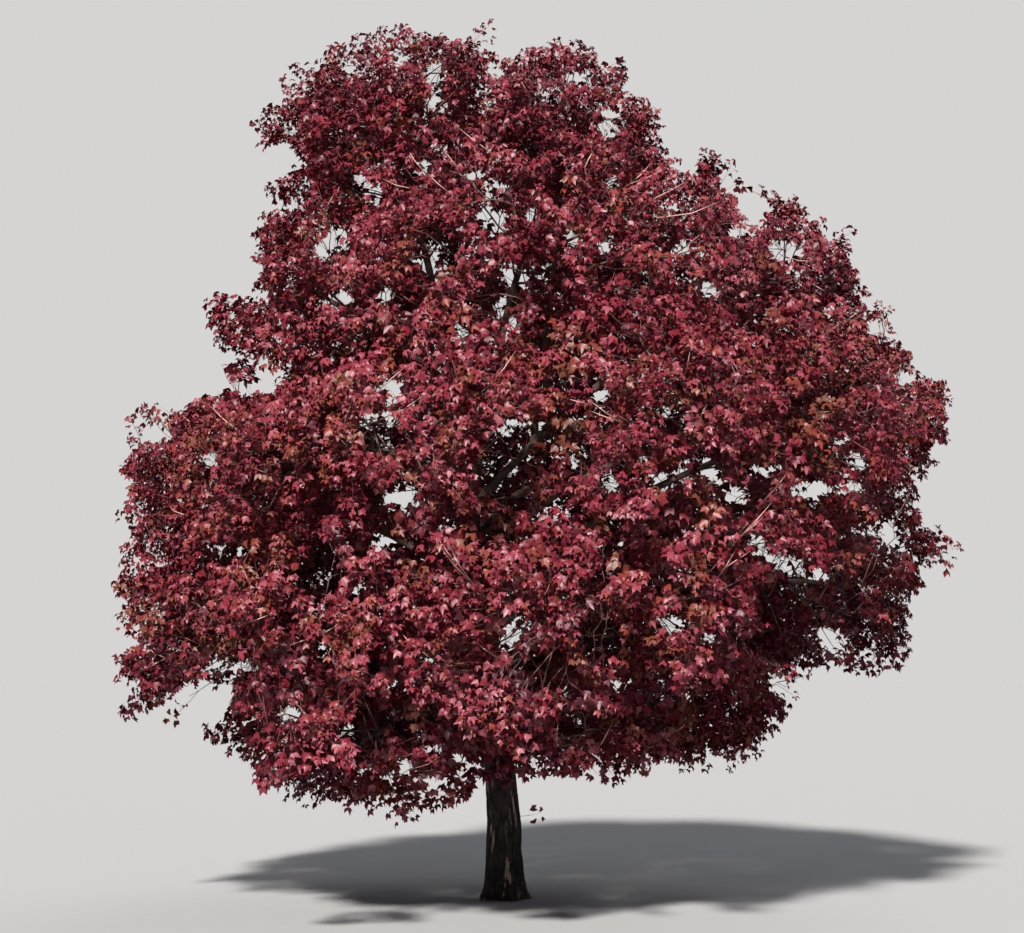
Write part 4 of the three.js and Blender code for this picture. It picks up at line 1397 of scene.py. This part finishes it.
foliage_pieces = []
for region, masses in [*regions.items(), ("inside", ())]:
    shoots = []
    sizes = []
    for mass in masses:
        own = [stem for stem in stems_of_mass[mass] if stem.shoots == 1]
        tips = np.array([stem.end for stem in own])
        out = how_far_out(tips, fills[mass], crown_middle)
        rise = tips[:, 2] / crown_height
        by_height = SMALLER_ABOVE[0] + (SMALLER_ABOVE[1] - SMALLER_ABOVE[0]) * rise
        by_shade = LEAF_SIZE[0] + (LEAF_SIZE[1] - LEAF_SIZE[0]) * smooth_step(out, *SKIN_FROM)
        sizes.extend(by_height * by_shade)
        shoots.extend(own)
    if not masses:
        shoots = [stem for stem in inner_stems if stem.shoots == 1]
        sizes = [LEAF_SIZE[0]] * len(shoots)
    tints = tints_for(np.array([stem.end for stem in shoots]))
    leaves = leaves_on(shoots, np.array(sizes), bare_twigs)
    if not masses:
        size = np.array([TRUNK_SHOOT_SIZE])
        few = leaves_on([trunk_shoot], size, (), TRUNK_SHOOT_PAIRS, keep_all=True)
        leaves = [np.concatenate(both) for both in zip(leaves, few)]
    foliage = leaf_piece(f"leaves_{region}", leaves, blades, leaf_finishes, tints)
    if masses:
        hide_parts(*masses)
    foliage_pieces.append(foliage)

# The twigs too thin for bark.
for name, tiers in (("twigs_lower", ("skirt", "low")), ("twigs_upper", ("middle", "upper", "top"))):
    grown = itertools.chain(*(stems_of_mass[mass] for mass in mass_names if mass.startswith(tiers)))
    thin = [stem for stem in grown if thickness(stem.shoots) < BARK_FROM]
    wood_pieces.append(twig_piece(name, thin, twig_finishes))
wood_pieces.append(twig_piece("twigs_inside", [*inner_stems, trunk_shoot], twig_finishes))

for piece in wood_pieces:
    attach(piece, "root")
for piece in foliage_pieces:
    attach(piece, "root")

# ==== Floor, light and camera ====

FLOOR_HALF = 160.0
FLOOR_DROP = 0.001
FLOOR_COLOUR = (0.313, 0.313, 0.310)
CAMERA_TILT = 6.02
CAMERA_LENS = 66.8
CAMERA_REACH = 600
SUN_FROM = (-0.28, -0.96)
SUN_HEIGHT = 43.0
SUNSHINE = (1.0, 0.97, 0.94)
BACKGROUND = (0.665, 0.66, 0.65, 1)
SKY_LIGHT = (0.80, 0.85, 1.0, 1)
SKY_STRENGTH = 0.24


def sun_light(name, energy, angle, height, bearing, colour=(1.0, 1.0, 1.0)):
    """A sun as wide as an angle that shines from a height and a bearing, in degrees."""
    data = bpy.data.lights.new(name, "SUN")
    data.energy = energy
    data.angle = math.radians(angle)
    data.color = colour
    sun = put_in_scene(name, data)
    sun.rotation_euler = (math.radians(90 - height), 0, math.radians(bearing))


square = ((-1, -1), (1, -1), (1, 1), (-1, 1))
floor_mesh = bpy.data.meshes.new("floor")
floor_corners = [(x * FLOOR_HALF, y * FLOOR_HALF, -FLOOR_DROP) for x, y in square]
floor_mesh.from_pydata(floor_corners, [], [(0, 1, 2, 3)])
floor_mesh.materials.append(plain_material("floor_pale", FLOOR_COLOUR, 1.0, specular=0.0))
floor = put_in_scene("floor", floor_mesh)

sun_bearing = math.degrees(math.atan2(SUN_FROM[0], -SUN_FROM[1]))
sun_light("key", energy=7.9, angle=6, height=SUN_HEIGHT, bearing=sun_bearing, colour=SUNSHINE)
sun_light("fill", energy=1.1, angle=40, height=40, bearing=160)

world = bpy.data.worlds.new("studio")
world.use_nodes = True
bpy.context.scene.world = world
air = world.node_tree
seen = result(air, "ShaderNodeBackground", {"Color": BACKGROUND, "Strength": 1.0})
lighting = result(air, "ShaderNodeBackground", {"Color": SKY_LIGHT, "Strength": SKY_STRENGTH})
to_camera = add(air, "ShaderNodeLightPath").outputs["Is Camera Ray"]
blend = result(air, "ShaderNodeMixShader", {0: to_camera, 1: lighting, 2: seen})
air.links.new(blend, air.nodes["World Output"].inputs["Surface"])
bpy.context.scene.view_settings.view_transform = "Standard"

camera_data = bpy.data.cameras.new("camera")
camera_data.lens = CAMERA_LENS
camera_data.clip_end = CAMERA_REACH
camera = put_in_scene("camera", camera_data)
camera.location = EYE
camera.rotation_euler = (math.radians(90 + CAMERA_TILT), 0, 0)
bpy.context.scene.camera = camera

bpy.context.view_layer.update()
